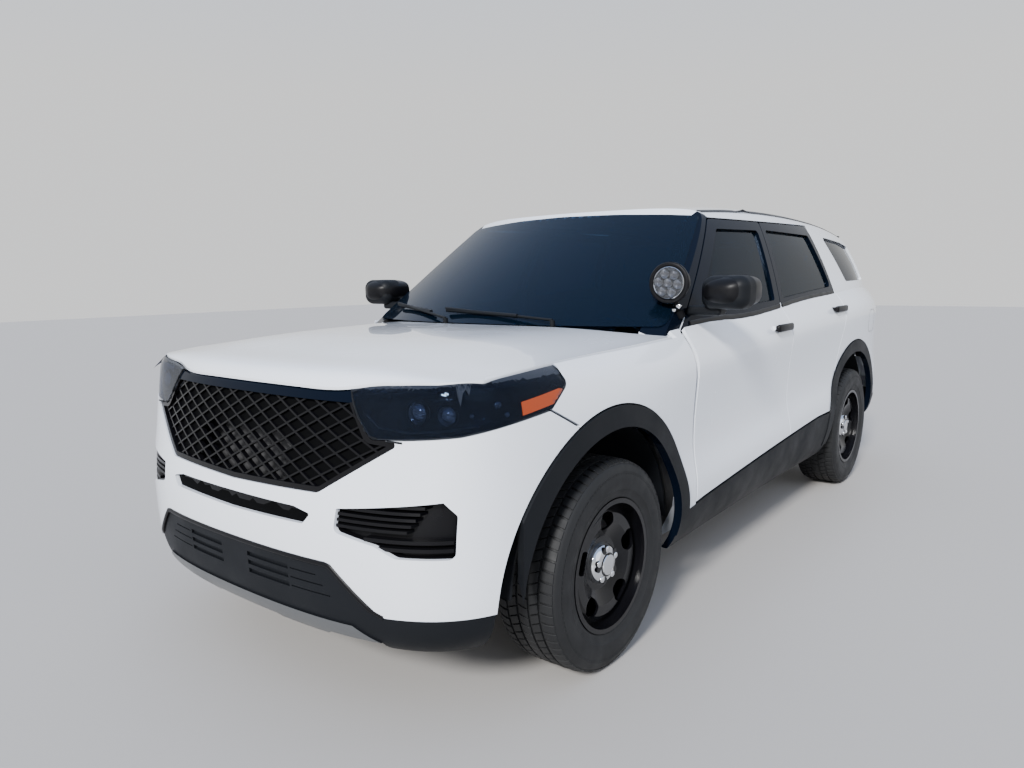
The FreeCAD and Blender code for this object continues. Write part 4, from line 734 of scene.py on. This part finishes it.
def tyre_mesh():
    """One tyre about the car's X axis, centred on its own origin."""
    half = carcass_profile()
    whole = half + [(-x, r) for x, r in reversed(half)]
    carcass = lathe(whole, 132)
    carcass.transform(TO_AXLE)
    body = to_mesh(carcass, "carcass")
    body.materials.append(rubber)
    rows = [body]
    for i, (low, high, count, length, slant, phase) in enumerate(TREAD_ROWS):
        block = tread_block(low, high, length, slant)
        row = ring_mesh(f"tread_row_{i}", block, count, GROOVE_FLOOR, rubber)
        row.transform(TO_AXLE @ Matrix.Rotation(2 * math.pi * phase / count, 4, "Z"))
        rows.append(row)
    bar = soft_block((0.0022, 0.011, 0.0016), 0.0006, 1)
    bar.transform(Matrix.Translation((0, 0, 0.1262)))
    ribs = ring_mesh("side_ribs", bar, 120, 0.3315, rubber)
    ribs.transform(TO_AXLE)
    rows.append(ribs)
    return joined("tyre", rows)


one_tyre = tyre_mesh()
for side, sign in SIDES:
    for end in ENDS:
        mesh = at_wheel(one_tyre, end, sign)
        wheel = f"wheel_{end}_{side}"
        tyre = finished(f"tyre_tread_{end}_{side}", mesh, wheel, 35)
        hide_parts(f"tyre_{end}_{side}")


# Wheel covers: a chrome cap with five nut bumps over each wheel's hub

CAP_FOOT, CAP_RADIUS = 0.0605, 0.0765


def cap_mesh():
    """The chrome cap about X, seen from outboard, and the wheel's air valve."""
    dome = lathe([
        (CAP_FOOT, CAP_RADIUS), (CAP_FOOT + 0.004, CAP_RADIUS + 0.0006), (CAP_FOOT + 0.010, 0.0750),
        (CAP_FOOT + 0.020, 0.0698), (CAP_FOOT + 0.0275, 0.0625), (CAP_FOOT + 0.0300, 0.0560),
        (CAP_FOOT + 0.0315, 0.0440), (CAP_FOOT + 0.0325, 0.0385), (CAP_FOOT + 0.0365, 0.0365),
        (CAP_FOOT + 0.0385, 0.0300), (CAP_FOOT + 0.0395, 0.0150), (CAP_FOOT + 0.0398, 0),
    ], 72)
    dome.transform(TO_AXLE)
    shell = to_mesh(dome, "cap")
    shell.materials.append(chrome)
    nut = lathe([
        (-0.006, 0.0128), (0.003, 0.0132), (0.006, 0.0124), (0.0085, 0.0100), (0.0100, 0.0050),
        (0.0104, 0),
    ], 18)
    nut.transform(Matrix.Translation((0, 0, CAP_FOOT + 0.0255)))
    nuts = ring_mesh("cap_nuts", nut, 5, 0.0572, chrome)
    nuts.transform(TO_AXLE @ Matrix.Rotation(math.radians(36), 4, "Z"))
    valve = lathe([(0, 0.004), (0.026, 0.0042), (0.028, 0.0052), (0.036, 0.0050), (0.037, 0)], 14)
    stem = placed(
        valve, "valve", Matrix.Translation((0.048, 0, -0.207)) @ Matrix.Rotation(math.radians(58), 4, "Y"),
        satin_black,
    )
    return joined("cap", [shell, nuts, stem])


one_cap = cap_mesh()
for side, sign in SIDES:
    for end in ENDS:
        mesh = at_wheel(one_cap, end, sign)
        finished(f"hub_cap_{end}_{side}", mesh, f"wheel_{end}_{side}", 30)


# Headlamps: a smoked lens over a dark bowl, with two round units and an amber outer end


CORE_X, CORE_Y = 0.45, -1.95  # the left lamp's outer faces look away from this upright line


def lamp_parts():
    """The left lamp of the CAD piece: its outer face, and the rest of it, as two meshes."""
    parts = []
    for keep_front in (True, False):
        shape = bmesh.new()
        shape.from_mesh(NODES["headlamps"].data)
        bmesh.ops.remove_doubles(shape, verts=shape.verts, dist=2e-5)
        shape.normal_update()
        doomed = []
        for face in shape.faces:
            middle = face.calc_center_median()
            outward = Vector((middle.x - CORE_X, middle.y - CORE_Y, 0)).normalized()
            is_front = face.normal.dot(outward) > 0.70
            if middle.x < 0 or is_front != keep_front:
                doomed.append(face)
        bmesh.ops.delete(shape, geom=doomed, context="FACES")
        mesh = bpy.data.meshes.new("lamp_part")
        shape.to_mesh(mesh)
        shape.free()
        parts.append(mesh)
    return parts


lamp_face, lamp_back = lamp_parts()
lamp_tree = BVHTree.FromPolygons(
    [v.co for v in lamp_face.vertices], [tuple(p.vertices) for p in lamp_face.polygons]
)


def lamp_unit(place, outward, radius):
    """A round lamp unit: a dark collar, a bright ring and a clear bulging lens."""
    matrix = frame_along(outward, place)
    collar = lathe([
        (-0.030, radius * 0.7), (-0.004, radius * 1.12), (0.004, radius * 1.14), (0.006, radius * 1.08),
        (0.001, radius * 0.98), (-0.004, radius * 0.92), (-0.022, radius * 0.6),
    ], 40)
    ring = lathe([
        (-0.006, radius * 0.93), (0.0025, radius * 0.99), (0.004, radius * 0.955), (-0.004, radius * 0.88),
    ], 40)
    eye = lathe([
        (-0.012, radius * 0.86), (-0.004, radius * 0.86), (0.003, radius * 0.74), (0.008, radius * 0.5),
        (0.0105, radius * 0.24), (0.0112, 0),
    ], 40)
    return [
        placed(collar, "collar", matrix, lamp_bowl), placed(ring, "ring", matrix, chrome),
        placed(eye, "eye", matrix, mirror_glass),
    ]


def amber_block():
    """The amber reflector behind the lens, wider towards the back, with upright flutes."""
    shape = bmesh.new()
    columns = []
    count = 25
    for i in range(count):
        share = i / (count - 1)
        y = -2.112 + 0.218 * share
        low = 0.990 + 0.030 * share
        high = 1.030 + 0.026 * share - max(0, share - 0.8) * 0.09
        column = []
        for j in range(5):
            z = low + (high - low) * j / 4
            place, _ = touch(lamp_tree, (BESIDE, y, z), (-1, 0, 0))
            if place is None:
                place = column[-1].co.copy() if column else Vector((0.93, y, z))
            column.append(shape.verts.new((place.x + (0.0004 if i % 2 else 0.001), y, z)))
        columns.append(column)
    for a, b in zip(columns, columns[1:]):
        for j in range(4):
            shape.faces.new((a[j], b[j], b[j + 1], a[j + 1]))
    mesh = to_mesh(shape, "amber")
    mesh.materials.append(amber_lens)
    return thickened("amber", mesh, 0.0025)


BLADE_LINE = ((0.560, 1.000), (0.610, 0.966), (0.700, 0.956), (0.800, 0.962), (0.880, 0.972))


def left_lamp():
    """The whole left lamp: lens, bowl, two units, a bright blade, the amber end and small gems."""
    lens = thickened("lens", lamp_face, 0.0025)
    lens.materials.clear()
    lens.materials.append(smoked_lens)
    bowl = thickened("bowl", lamp_back, 0.002)
    bowl.materials.clear()
    bowl.materials.append(lamp_bowl)
    inner = []
    for x, y, z, radius in ((0.722, -2.354, 1.014, 0.033), (0.812, -2.314, 1.006, 0.030)):
        place, normal = touch(lamp_tree, (x, y - 0.2, z), BACKWARD)
        outward = (normal + FORWARD * 1.2).normalized()
        inner += lamp_unit(place - normal * 0.030, outward, radius)
    points, normals = [], []
    for x, z in evenly(BLADE_LINE, 0.01):
        place, normal = touch(lamp_tree, (x, AHEAD, z), BACKWARD)
        if place is not None:
            points.append(place - normal * 0.010)
            normals.append(normal)
    inner.append(strip("blade", points, normals, 0.007, 0.004, silver_plastic))
    inner.append(amber_block())
    for x, z, size in ((0.905, 1.030, 0.012), (0.918, 0.998, 0.009), (0.868, 1.004, 0.008)):
        place, normal = touch(lamp_tree, (x, AHEAD, z), BACKWARD)
        if place is not None:
            gem = lathe([(-0.004, size), (0.002, size * 0.9), (0.005, size * 0.5), (0.006, 0)], 12)
            inner.append(placed(gem, "gem", frame_along(normal, place - normal * 0.014), chrome))
    return joined("lamp", [lens, bowl] + inner)


lamp = left_lamp()
for side, mesh in (("left", lamp), ("right", mirrored(lamp))):
    piece = finished(f"headlamp_{side}", mesh, "root", 35)
    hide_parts("headlamps")


# Mouldings that follow the body: laid on the skin along lines found on it


def spaced(count, start, end):
    """Places from one to another at even steps, both ends included."""
    return [tuple(a + (b - a) * i / count for a, b in zip(start, end)) for i in range(count + 1)]


def laid(name, tree, starts, direction, width, height, material, lift=0.0, **settings):
    """A strip along the places where lines from the starts meet the tree's faces."""
    points, normals = [], []
    for start in starts:
        place, normal = touch(tree, start, direction)
        if place is not None:
            points.append(place + normal * lift)
            normals.append(normal)
    return strip(name, points, normals, width, height, material, **settings)


nose_tree = search_tree("front_bumper", "front_lower_fascia", "grille", "headlamps")
LAMP_EDGE = ((0.489, 1.066), (0.523, 1.010), (0.566, 0.950), (0.585, 0.938), (0.620, 0.931),
             (0.700, 0.927))
INTAKE_EDGE = ((-0.652, 0.404), (-0.622, 0.418), (-0.480, 0.541), (-0.460, 0.545), (0.460, 0.545),
               (0.480, 0.541), (0.622, 0.418), (0.652, 0.404))
nose_trim = []
for sign in (LEFT, RIGHT):
    line = [(sign * x, AHEAD, z) for x, z in evenly(LAMP_EDGE, 0.008)]
    nose_trim.append(laid("lamp_edge", nose_tree, line, BACKWARD, 0.006, 0.003, moulding_grey))
line = [(x, AHEAD, z) for x, z in evenly(INTAKE_EDGE, 0.012)]
nose_trim.append(laid("intake_edge", nose_tree, line, BACKWARD, 0.015, 0.006, satin_black))
finished("nose_trim", joined("nose_trim", nose_trim), "root")


def belt_joint(tree, y, sign):
    """The height where a door's rolled top meets the steep window frame."""
    low = z = belt_height(y) - 0.05
    while z < low + 0.10:
        place, normal = touch(tree, (sign * BESIDE, y, z), (-sign, 0, 0))
        if place is not None and normal.z < STEEP:
            break
        z += 0.002
    return z


BELT_RUN = {"front": (-0.885, 0.142), "rear": (0.176, 1.088)}
for side, sign in SIDES:
    for end in ENDS:
        tree = search_tree(f"door_{end}_{side}")
        low, high = BELT_RUN[end]
        starts = [
            (x, y, belt_joint(tree, y, sign) + 0.006)
            for x, y in spaced(22, (sign * BESIDE, low), (sign * BESIDE, high))
        ]
        mesh = laid("belt", tree, starts, (-sign, 0, 0), 0.024, 0.006, satin_black)
        finished(f"belt_strip_{end}_{side}", mesh, f"door_{end}_{side}")


def roof_edge(y, sign):
    """The outer edge of the roof panel across a section of the car."""
    best = None
    mesh = NODES["roof_panel"].data
    for edge in mesh.edges:
        a, b = (mesh.vertices[i].co for i in edge.vertices)
        if (a.y - y) * (b.y - y) > 0 or a.y == b.y:
            continue
        place = a.lerp(b, (y - a.y) / (b.y - a.y))
        if place.x * sign > 0 and (best is None or abs(place.x) > abs(best.x)):
            best = place
    return best


roof_tree = search_tree("roof_panel", "body_side_left", "body_side_right")
for side, sign in SIDES:
    edges = [roof_edge(-0.385 + 2.50 * i / 25, sign) for i in range(26)]
    starts = [edge + Vector((sign * 0.20, 0, 0.30)) for edge in edges if edge is not None]
    mesh = laid("ditch", roof_tree, starts, (-sign * 0.20, 0, -0.30), 0.030, 0.003, satin_black)
    finished(f"roof_strip_{side}", mesh, "root")


# The pillar lamp: seven bright cups in a black ring, behind a clear face, and its small joints

SPOT_FACE = Vector((0.829, -1.004, 1.357))
SPOT_AXIS = Vector((0.12, -0.99, 0.02)).normalized()
SPOT_RADIUS = 0.083


def spot_mesh():
    """The lamp's face about its own axis, stood on the source's lamp, and two knobs below it."""
    matrix = frame_along(SPOT_AXIS, SPOT_FACE)
    ring = lathe([
        (-0.012, SPOT_RADIUS + 0.0012), (0.0005, SPOT_RADIUS + 0.0012), (0.0045, SPOT_RADIUS - 0.002),
        (0.0060, SPOT_RADIUS - 0.007), (0.0055, SPOT_RADIUS - 0.013), (0.0010, SPOT_RADIUS - 0.017),
        (-0.0005, SPOT_RADIUS - 0.017), (-0.0010, SPOT_RADIUS - 0.004),
    ], 72)
    rim = lathe([
        (0.0006, 0.0655), (0.0040, 0.0650), (0.0048, 0.0635), (0.0036, 0.0620), (0.0006, 0.0618),
    ], 72)
    back = lathe([(-0.0005, 0.0640), (0.0008, 0.0640), (0.0008, 0.0400), (0.0008, 0)], 48)
    cup = [
        (0.0009, 0.0185), (0.0075, 0.0192), (0.0078, 0.0182), (0.0050, 0.0140), (0.0030, 0.0075),
        (0.0026, 0.0040), (0.0042, 0.0030), (0.0048, 0),
    ]
    cups = ring_mesh("led_cups", lathe(cup, 24), 6, 0.0405, lamp_cup)
    middle = to_mesh(lathe(cup, 24), "led_cup")
    middle.materials.append(lamp_cup)
    face = lathe([(0.0078, 0.0630), (0.0088, 0.0626), (0.0102, 0.0400), (0.0108, 0)], 48)
    glass = to_mesh(face, "spot_glass")
    glass.materials.append(clear_lens)
    parts = [placed(ring, "ring", Matrix(), satin_black), placed(rim, "rim", Matrix(), chrome),
             placed(back, "back", Matrix(), lamp_bowl), cups, middle]
    for part in parts:
        part.transform(matrix)
    glass = thickened("spot_glass", glass, 0.0012)
    glass.transform(matrix)
    for x, z, size in ((0.866, 1.262, 0.010), (0.846, 1.246, 0.008)):
        knob = lathe([
            (-0.010, size * 0.7), (0.006, size * 0.8), (0.008, size), (0.013, size), (0.015, size * 0.7),
            (0.0155, 0),
        ], 20)
        parts.append(placed(knob, "knob", frame_along(SPOT_AXIS, Vector((x, -0.978, z))), chrome))
    return joined("spot", parts + [glass])


finished("spot_face", spot_mesh(), "root", 30)


# Mirrors: a rounded shell over each housing, with the glass in its back

SHELL_MIDDLE = Vector((1.029, -0.866, 1.320))
SHELL_HALF = Vector((0.105, 0.102, 0.065))
SHELL_STATIONS = (-1, -0.97, -0.90, -0.78, -0.6, -0.35, 0, 0.35, 0.6, 0.78, 0.88, 0.93)


def rounded_oblong(count, half_wide, half_high, power):
    """Points round an oblong; the lower the power, the squarer it is."""
    points = []
    for i in range(count):
        turn = 2 * math.pi * i / count
        c, s = math.cos(turn), math.sin(turn)
        points.append((
            half_wide * math.copysign(abs(c) ** power, c), half_high * math.copysign(abs(s) ** power, s)
        ))
    return points


def shell_ring(shape, share, y):
    """A rounded oblong of vertices across the mirror's shell, lower towards the door."""
    return [
        shape.verts.new((x, y, z * (1 - 0.16 * max(0, -x / SHELL_HALF.x))))
        for x, z in rounded_oblong(56, SHELL_HALF.x * share, SHELL_HALF.z * share, 0.62)
    ]


def mirror_shell():
    """The left mirror's housing, its nose forwards, and the glass set into its open back."""
    shape = bmesh.new()
    rings = []
    for t in SHELL_STATIONS:
        share = (1 - max(0, -t) ** 2.6) ** 0.5 if t < 0 else 1 - 0.05 * t**2
        if share > 0.02:
            rings.append(shell_ring(shape, share, t * SHELL_HALF.y))
    for share, y in ((0.93, 0.95), (0.90, 0.93), (0.895, 0.84)):
        rings.append(shell_ring(shape, share, y * SHELL_HALF.y))
    bridge(shape, rings)
    shell = placed(shape, "shell", Matrix.Translation(SHELL_MIDDLE), satin_black)
    shape = bmesh.new()
    rings = [
        shell_ring(shape, share, y)
        for share, y in ((0.88, 0.0855), (0.88, 0.0885), (0.87, 0.0893), (0.4, 0.0891))
    ]
    bridge(shape, rings)
    glass = placed(shape, "mirror_face", Matrix.Translation(SHELL_MIDDLE), mirror_glass)
    return joined("mirror", [shell, glass])


left_mirror = mirror_shell()
for side, mesh in (("left", left_mirror), ("right", mirrored(left_mirror))):
    finished(f"mirror_shell_{side}", mesh, f"door_front_{side}")


# Door pulls: a rounded grip over each moulded handle, made taller than the handle so that its black also
# takes in the handle's shadow in the cup: partly painted shadow

# The grip's height takes in the shadow under the handle as well: painted shadow
GRIP_WITH_SHADOW = (0.022, 0.208, 0.038)
for side, sign in SIDES:
    for end in ENDS:
        tree = search_tree(f"door_{end}_{side}")
        y, z = HANDLES[end]
        place, _ = touch(tree, (sign * BESIDE, y, z), (-sign, 0, 0))
        grip = placed(
            soft_block(GRIP_WITH_SHADOW, 0.010), "grip", Matrix.Translation((place.x - sign * 0.004, y, z)), satin_black
        )
        finished(f"door_pull_{end}_{side}", grip, f"door_{end}_{side}")


# The tail: red bars on the red lamps, a stop lamp in the spoiler, reflectors and a wiper

tail_tree = search_tree("tail_lamps")
rear_tree = search_tree("tailgate", "rear_bumper", "rear_lower_fascia", "glass_tailgate")
side_tree = search_tree("body_side_left", "body_side_right", "rear_bumper")
lamp_bars = []
for sign in (LEFT, RIGHT):
    for height in (1.004, 1.058, 1.112):
        starts = spaced(20, (sign * 0.70, 2.8, height + 0.014), (sign * 1.10, 2.55, height))
        lamp_bars.append(laid(
            "lamp_bar", tail_tree, starts, (-sign * 0.55, -0.83, 0), 0.010, 0.0025, lamp_red
        ))
finished("tail_lamp_bars", joined("tail_lamp_bars", lamp_bars), "root")
reflectors = []
for sign in (LEFT, RIGHT):
    starts = spaced(12, (sign * 0.56, BEHIND, 0.472), (sign * 0.72, BEHIND, 0.472))
    reflectors.append(laid("reflector", rear_tree, starts, FORWARD, 0.030, 0.004, lamp_red))
finished("rear_reflectors", joined("rear_reflectors", reflectors), "root")

gate_trim = []
starts = spaced(40, (-0.62, BEHIND, 1.095), (0.62, BEHIND, 1.095))
gate_trim.append(laid("gate_bar", rear_tree, starts, FORWARD, 0.052, 0.009, gloss_black))
recess, _ = touch(rear_tree, (0, BEHIND, 0.927), FORWARD)
bolt = lathe([(-0.002, 0.006), (0.003, 0.006), (0.004, 0.0045), (0.0042, 0)], 12)
bolts = row_mesh("plate_bolts", bolt, 2, (0.18, 0, 0), chrome)
bolts.transform(leaning((-0.09, recess.y, 0.975), -90))
gate_trim.append(bolts)
pivot, pivot_out = touch(rear_tree, (0, BEHIND, 1.292), FORWARD)
hub = lathe([(-0.012, 0.024), (0.010, 0.024), (0.017, 0.018), (0.020, 0.008), (0.020, 0)], 28)
gate_trim.append(placed(hub, "wiper_hub", frame_along(pivot_out, pivot), satin_black))
for name, count, start, end, width, height, lift in (
    ("wiper_arm", 12, (-0.02, BEHIND, 1.305), (-0.33, BEHIND, 1.360), 0.014, 0.008, 0.010),
    ("wiper_blade", 14, (-0.10, BEHIND, 1.334), (-0.46, BEHIND, 1.362), 0.010, 0.006, 0.004),
):
    gate_trim.append(laid(
        name, rear_tree, spaced(count, start, end), FORWARD, width, height, satin_black, lift, sink=0.004
    ))
starts = spaced(16, (-0.17, BEHIND, 1.640), (0.17, BEHIND, 1.640))
gate_trim.append(laid("stop_lamp", search_tree("tailgate"), starts, FORWARD, 0.014, 0.003, lamp_red))
finished("tailgate_trim", joined("tailgate_trim", gate_trim), "tailgate")


# The fuel door's shut line, a fine dark line on the left rear quarter

FUEL_Y, FUEL_Z = 1.742, 1.062
line = [(BESIDE, FUEL_Y + y, FUEL_Z + z) for y, z in rounded_oblong(56, 0.086, 0.074, 0.45)]
mesh = laid("fuel_door", side_tree, line, (-1, 0, 0), 0.0032, 0.0004, satin_black, closed=True)
finished("fuel_door_line", mesh, "root")


# Seats: padded cushions with bolsters and sewn channels


def cushion(size, crown, channels, bolster):
    """A padded block: its top crowned between the seams, its sides rounded and drawn in."""
    shape = bmesh.new()
    bmesh.ops.create_cube(shape, size=2)
    bmesh.ops.subdivide_edges(shape, edges=shape.edges[:], cuts=15, use_grid_fill=True)
    half = [s / 2 for s in size]
    radius = min(half) * 0.62
    for vertex in shape.verts:
        u, v, w = vertex.co
        place = Vector((u * half[0], v * half[1], w * half[2]))
        core = Vector(max(-h + radius, min(h - radius, c)) for h, c in zip(half, place))
        away = place - core
        if away.length > 1e-9:
            place = core + away.normalized() * max(abs(c) for c in away)
        swell = (1 - u * u) * (1 - v * v)
        place.z += crown * swell * (1 if w > 0 else -0.3)
        if w > 0.2:
            side_lift = max(0, abs(u) - 0.62) / 0.38
            place.z += bolster * side_lift * (1 - side_lift * 0.35)
            for seam in channels:
                gap = abs(abs(u) - seam) * half[0]
                place.z -= 0.011 * math.exp(-(gap / 0.010) ** 2)
        vertex.co = place
    return shape


def pad(name, replaced, size, place, lean, crown, channels, bolster=0.0):
    """A cushion in place of a block seat of the source, which is hidden."""
    shape = cushion(size, crown, channels, bolster)
    mesh = placed(shape, name, leaning(place, lean), seat_cloth)
    piece = finished(name, mesh, "root", 80)
    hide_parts(replaced)


for side, sign in SIDES:
    x = sign * 0.370
    for name, size, place, lean, *form in (
        ("seat_base", (0.490, 0.490, 0.125), (x, -0.190, 0.665), 2, 0.018, (0.55,), 0.016),
        ("seat_back", (0.480, 0.470, 0.110), (x, 0.118, 0.875), 74, 0.016, (0.55,), 0.014),
        ("head_rest", (0.250, 0.165, 0.080), (x, 0.195, 1.165), 74, 0.012, ()),
    ):
        pad(f"{name}_{side}", "front_seats", size, place, lean, *form)
    foot = placed(soft_block((0.36, 0.36, 0.25), 0.02), "foot", leaning((x, -0.19, 0.478)), trim_black)
    post = lathe([(-0.09, 0), (-0.09, 0.007), (0.09, 0.007), (0.09, 0)], 16)
    posts = row_mesh("rest_posts", post, 2, (0.10, 0, 0), chrome)
    posts.transform(leaning((x - 0.05, 0.170, 1.085), -16))
    finished(f"seat_frame_{side}", joined("seat_frame", [foot, posts]), "root")
pad("bench_base", "rear_seat", (1.180, 0.400, 0.145), (0, 0.690, 0.645), 2, 0.020, (0.32, 0.36))
pad("bench_back", "rear_seat", (1.090, 0.530, 0.110), (0, 1.030, 0.915), 72, 0.016, (0.32, 0.36))
foot = placed(soft_block((1.03, 0.31, 0.15), 0.02), "bench_foot", leaning((0, 0.715, 0.525)), trim_black)
finished("bench_foot", foot, "root")


# The dashboard's vents and screen, seen through the windscreen

cabin_tree = search_tree("dashboard")
dash_parts = []
for x in (-0.58, -0.05, 0.60):
    place, normal = touch(cabin_tree, (x, -0.3, 1.02), FORWARD)
    if place is None:
        continue
    slat = soft_block((0.125, 0.012, 0.0035), 0.001, 1)
    row = row_mesh("vent_slats", slat, 5, (0, 0, 0.0105), satin_black)
    row.transform(Matrix.Translation((place.x, place.y + 0.004, 0.998)))
    dash_parts.append(row)
screen_body = soft_block((0.235, 0.016, 0.130), 0.006)
dash_parts.append(placed(screen_body, "screen", leaning((0, -0.748, 0.985), -8), gloss_black))
finished("dash_trim", joined("dash_trim", dash_parts), "root")


# The floor, light and camera


def camera():
    """The camera that took the photograph, from the sizes of the car in it."""
    turn, rise, roll = math.radians(38.13), math.radians(10.72), math.radians(-0.84)
    focal_pixels = 747.1
    width, height = 1024, 768
    centre_pixel = (520.2, 418.0)
    back = Vector((
        math.sin(turn) * math.cos(rise), -math.cos(turn) * math.cos(rise), math.sin(rise)
    ))
    right = Vector((math.cos(turn), math.sin(turn), 0))
    up = back.cross(right)
    tilted_right = right * math.cos(roll) + up * math.sin(roll)
    tilted_up = up * math.cos(roll) - right * math.sin(roll)
    lens = bpy.data.cameras.new("photo camera")
    lens.sensor_width = 36
    lens.lens = focal_pixels * lens.sensor_width / width
    lens.shift_x = (width / 2 - centre_pixel[0]) / width
    lens.shift_y = (centre_pixel[1] - height / 2) / width
    eye = bpy.data.objects.new("photo camera", lens)
    eye.matrix_world = Matrix.Translation((2.254, -3.812, 1.391)) @ Matrix((
        tilted_right, tilted_up, back
    )).transposed().to_4x4()
    bpy.context.scene.collection.objects.link(eye)
    bpy.context.scene.camera = eye


def soft_sun(name, place, strength, spread, colour):
    """A wide, even light from the direction of a place."""
    light = bpy.data.lights.new(name, "SUN")
    light.energy = strength
    light.angle = math.radians(spread)
    light.color = colour
    lamp = bpy.data.objects.new(name, light)
    lamp.location = place
    lamp.rotation_euler = Vector(place).to_track_quat("Z", "Y").to_euler()
    bpy.context.scene.collection.objects.link(lamp)


def studio():
    """A grey floor under a pale dome that is bluer overhead, with a key and a fill light."""
    bpy.ops.mesh.primitive_plane_add(size=60, location=(0, 0, 0))
    floor = bpy.context.object
    floor.name = "studio floor"
    floor.data.materials.append(grain(shader("studio floor", (0.40, 0.385, 0.37), 0.6), 8, 0.05, 0.01))
    world = bpy.data.worlds.new("studio")
    world.use_nodes = True
    nodes, links = world.node_tree.nodes, world.node_tree.links
    place = nodes.new("ShaderNodeTexCoord")
    split = nodes.new("ShaderNodeSeparateXYZ")
    sky = nodes.new("ShaderNodeValToRGB")
    sky.color_ramp.elements[0].position = 0.22
    sky.color_ramp.elements[0].color = (0.86, 0.865, 0.87, 1)
    sky.color_ramp.elements[1].position = 0.75
    sky.color_ramp.elements[1].color = (0.56, 0.70, 1.0, 1)
    links.new(place.outputs["Generated"], split.inputs["Vector"])
    links.new(split.outputs["Z"], sky.inputs["Fac"])
    links.new(sky.outputs["Color"], nodes["Background"].inputs["Color"])
    nodes["Background"].inputs["Strength"].default_value = 1.15
    bpy.context.scene.world = world
    soft_sun("key", (1.3, -5.0, 3.4), 6.0, 10, (1.0, 0.985, 0.96))
    soft_sun("fill", (6.0, -1.5, 4.0), 0.5, 50, (0.95, 0.97, 1.0))


studio()
camera()
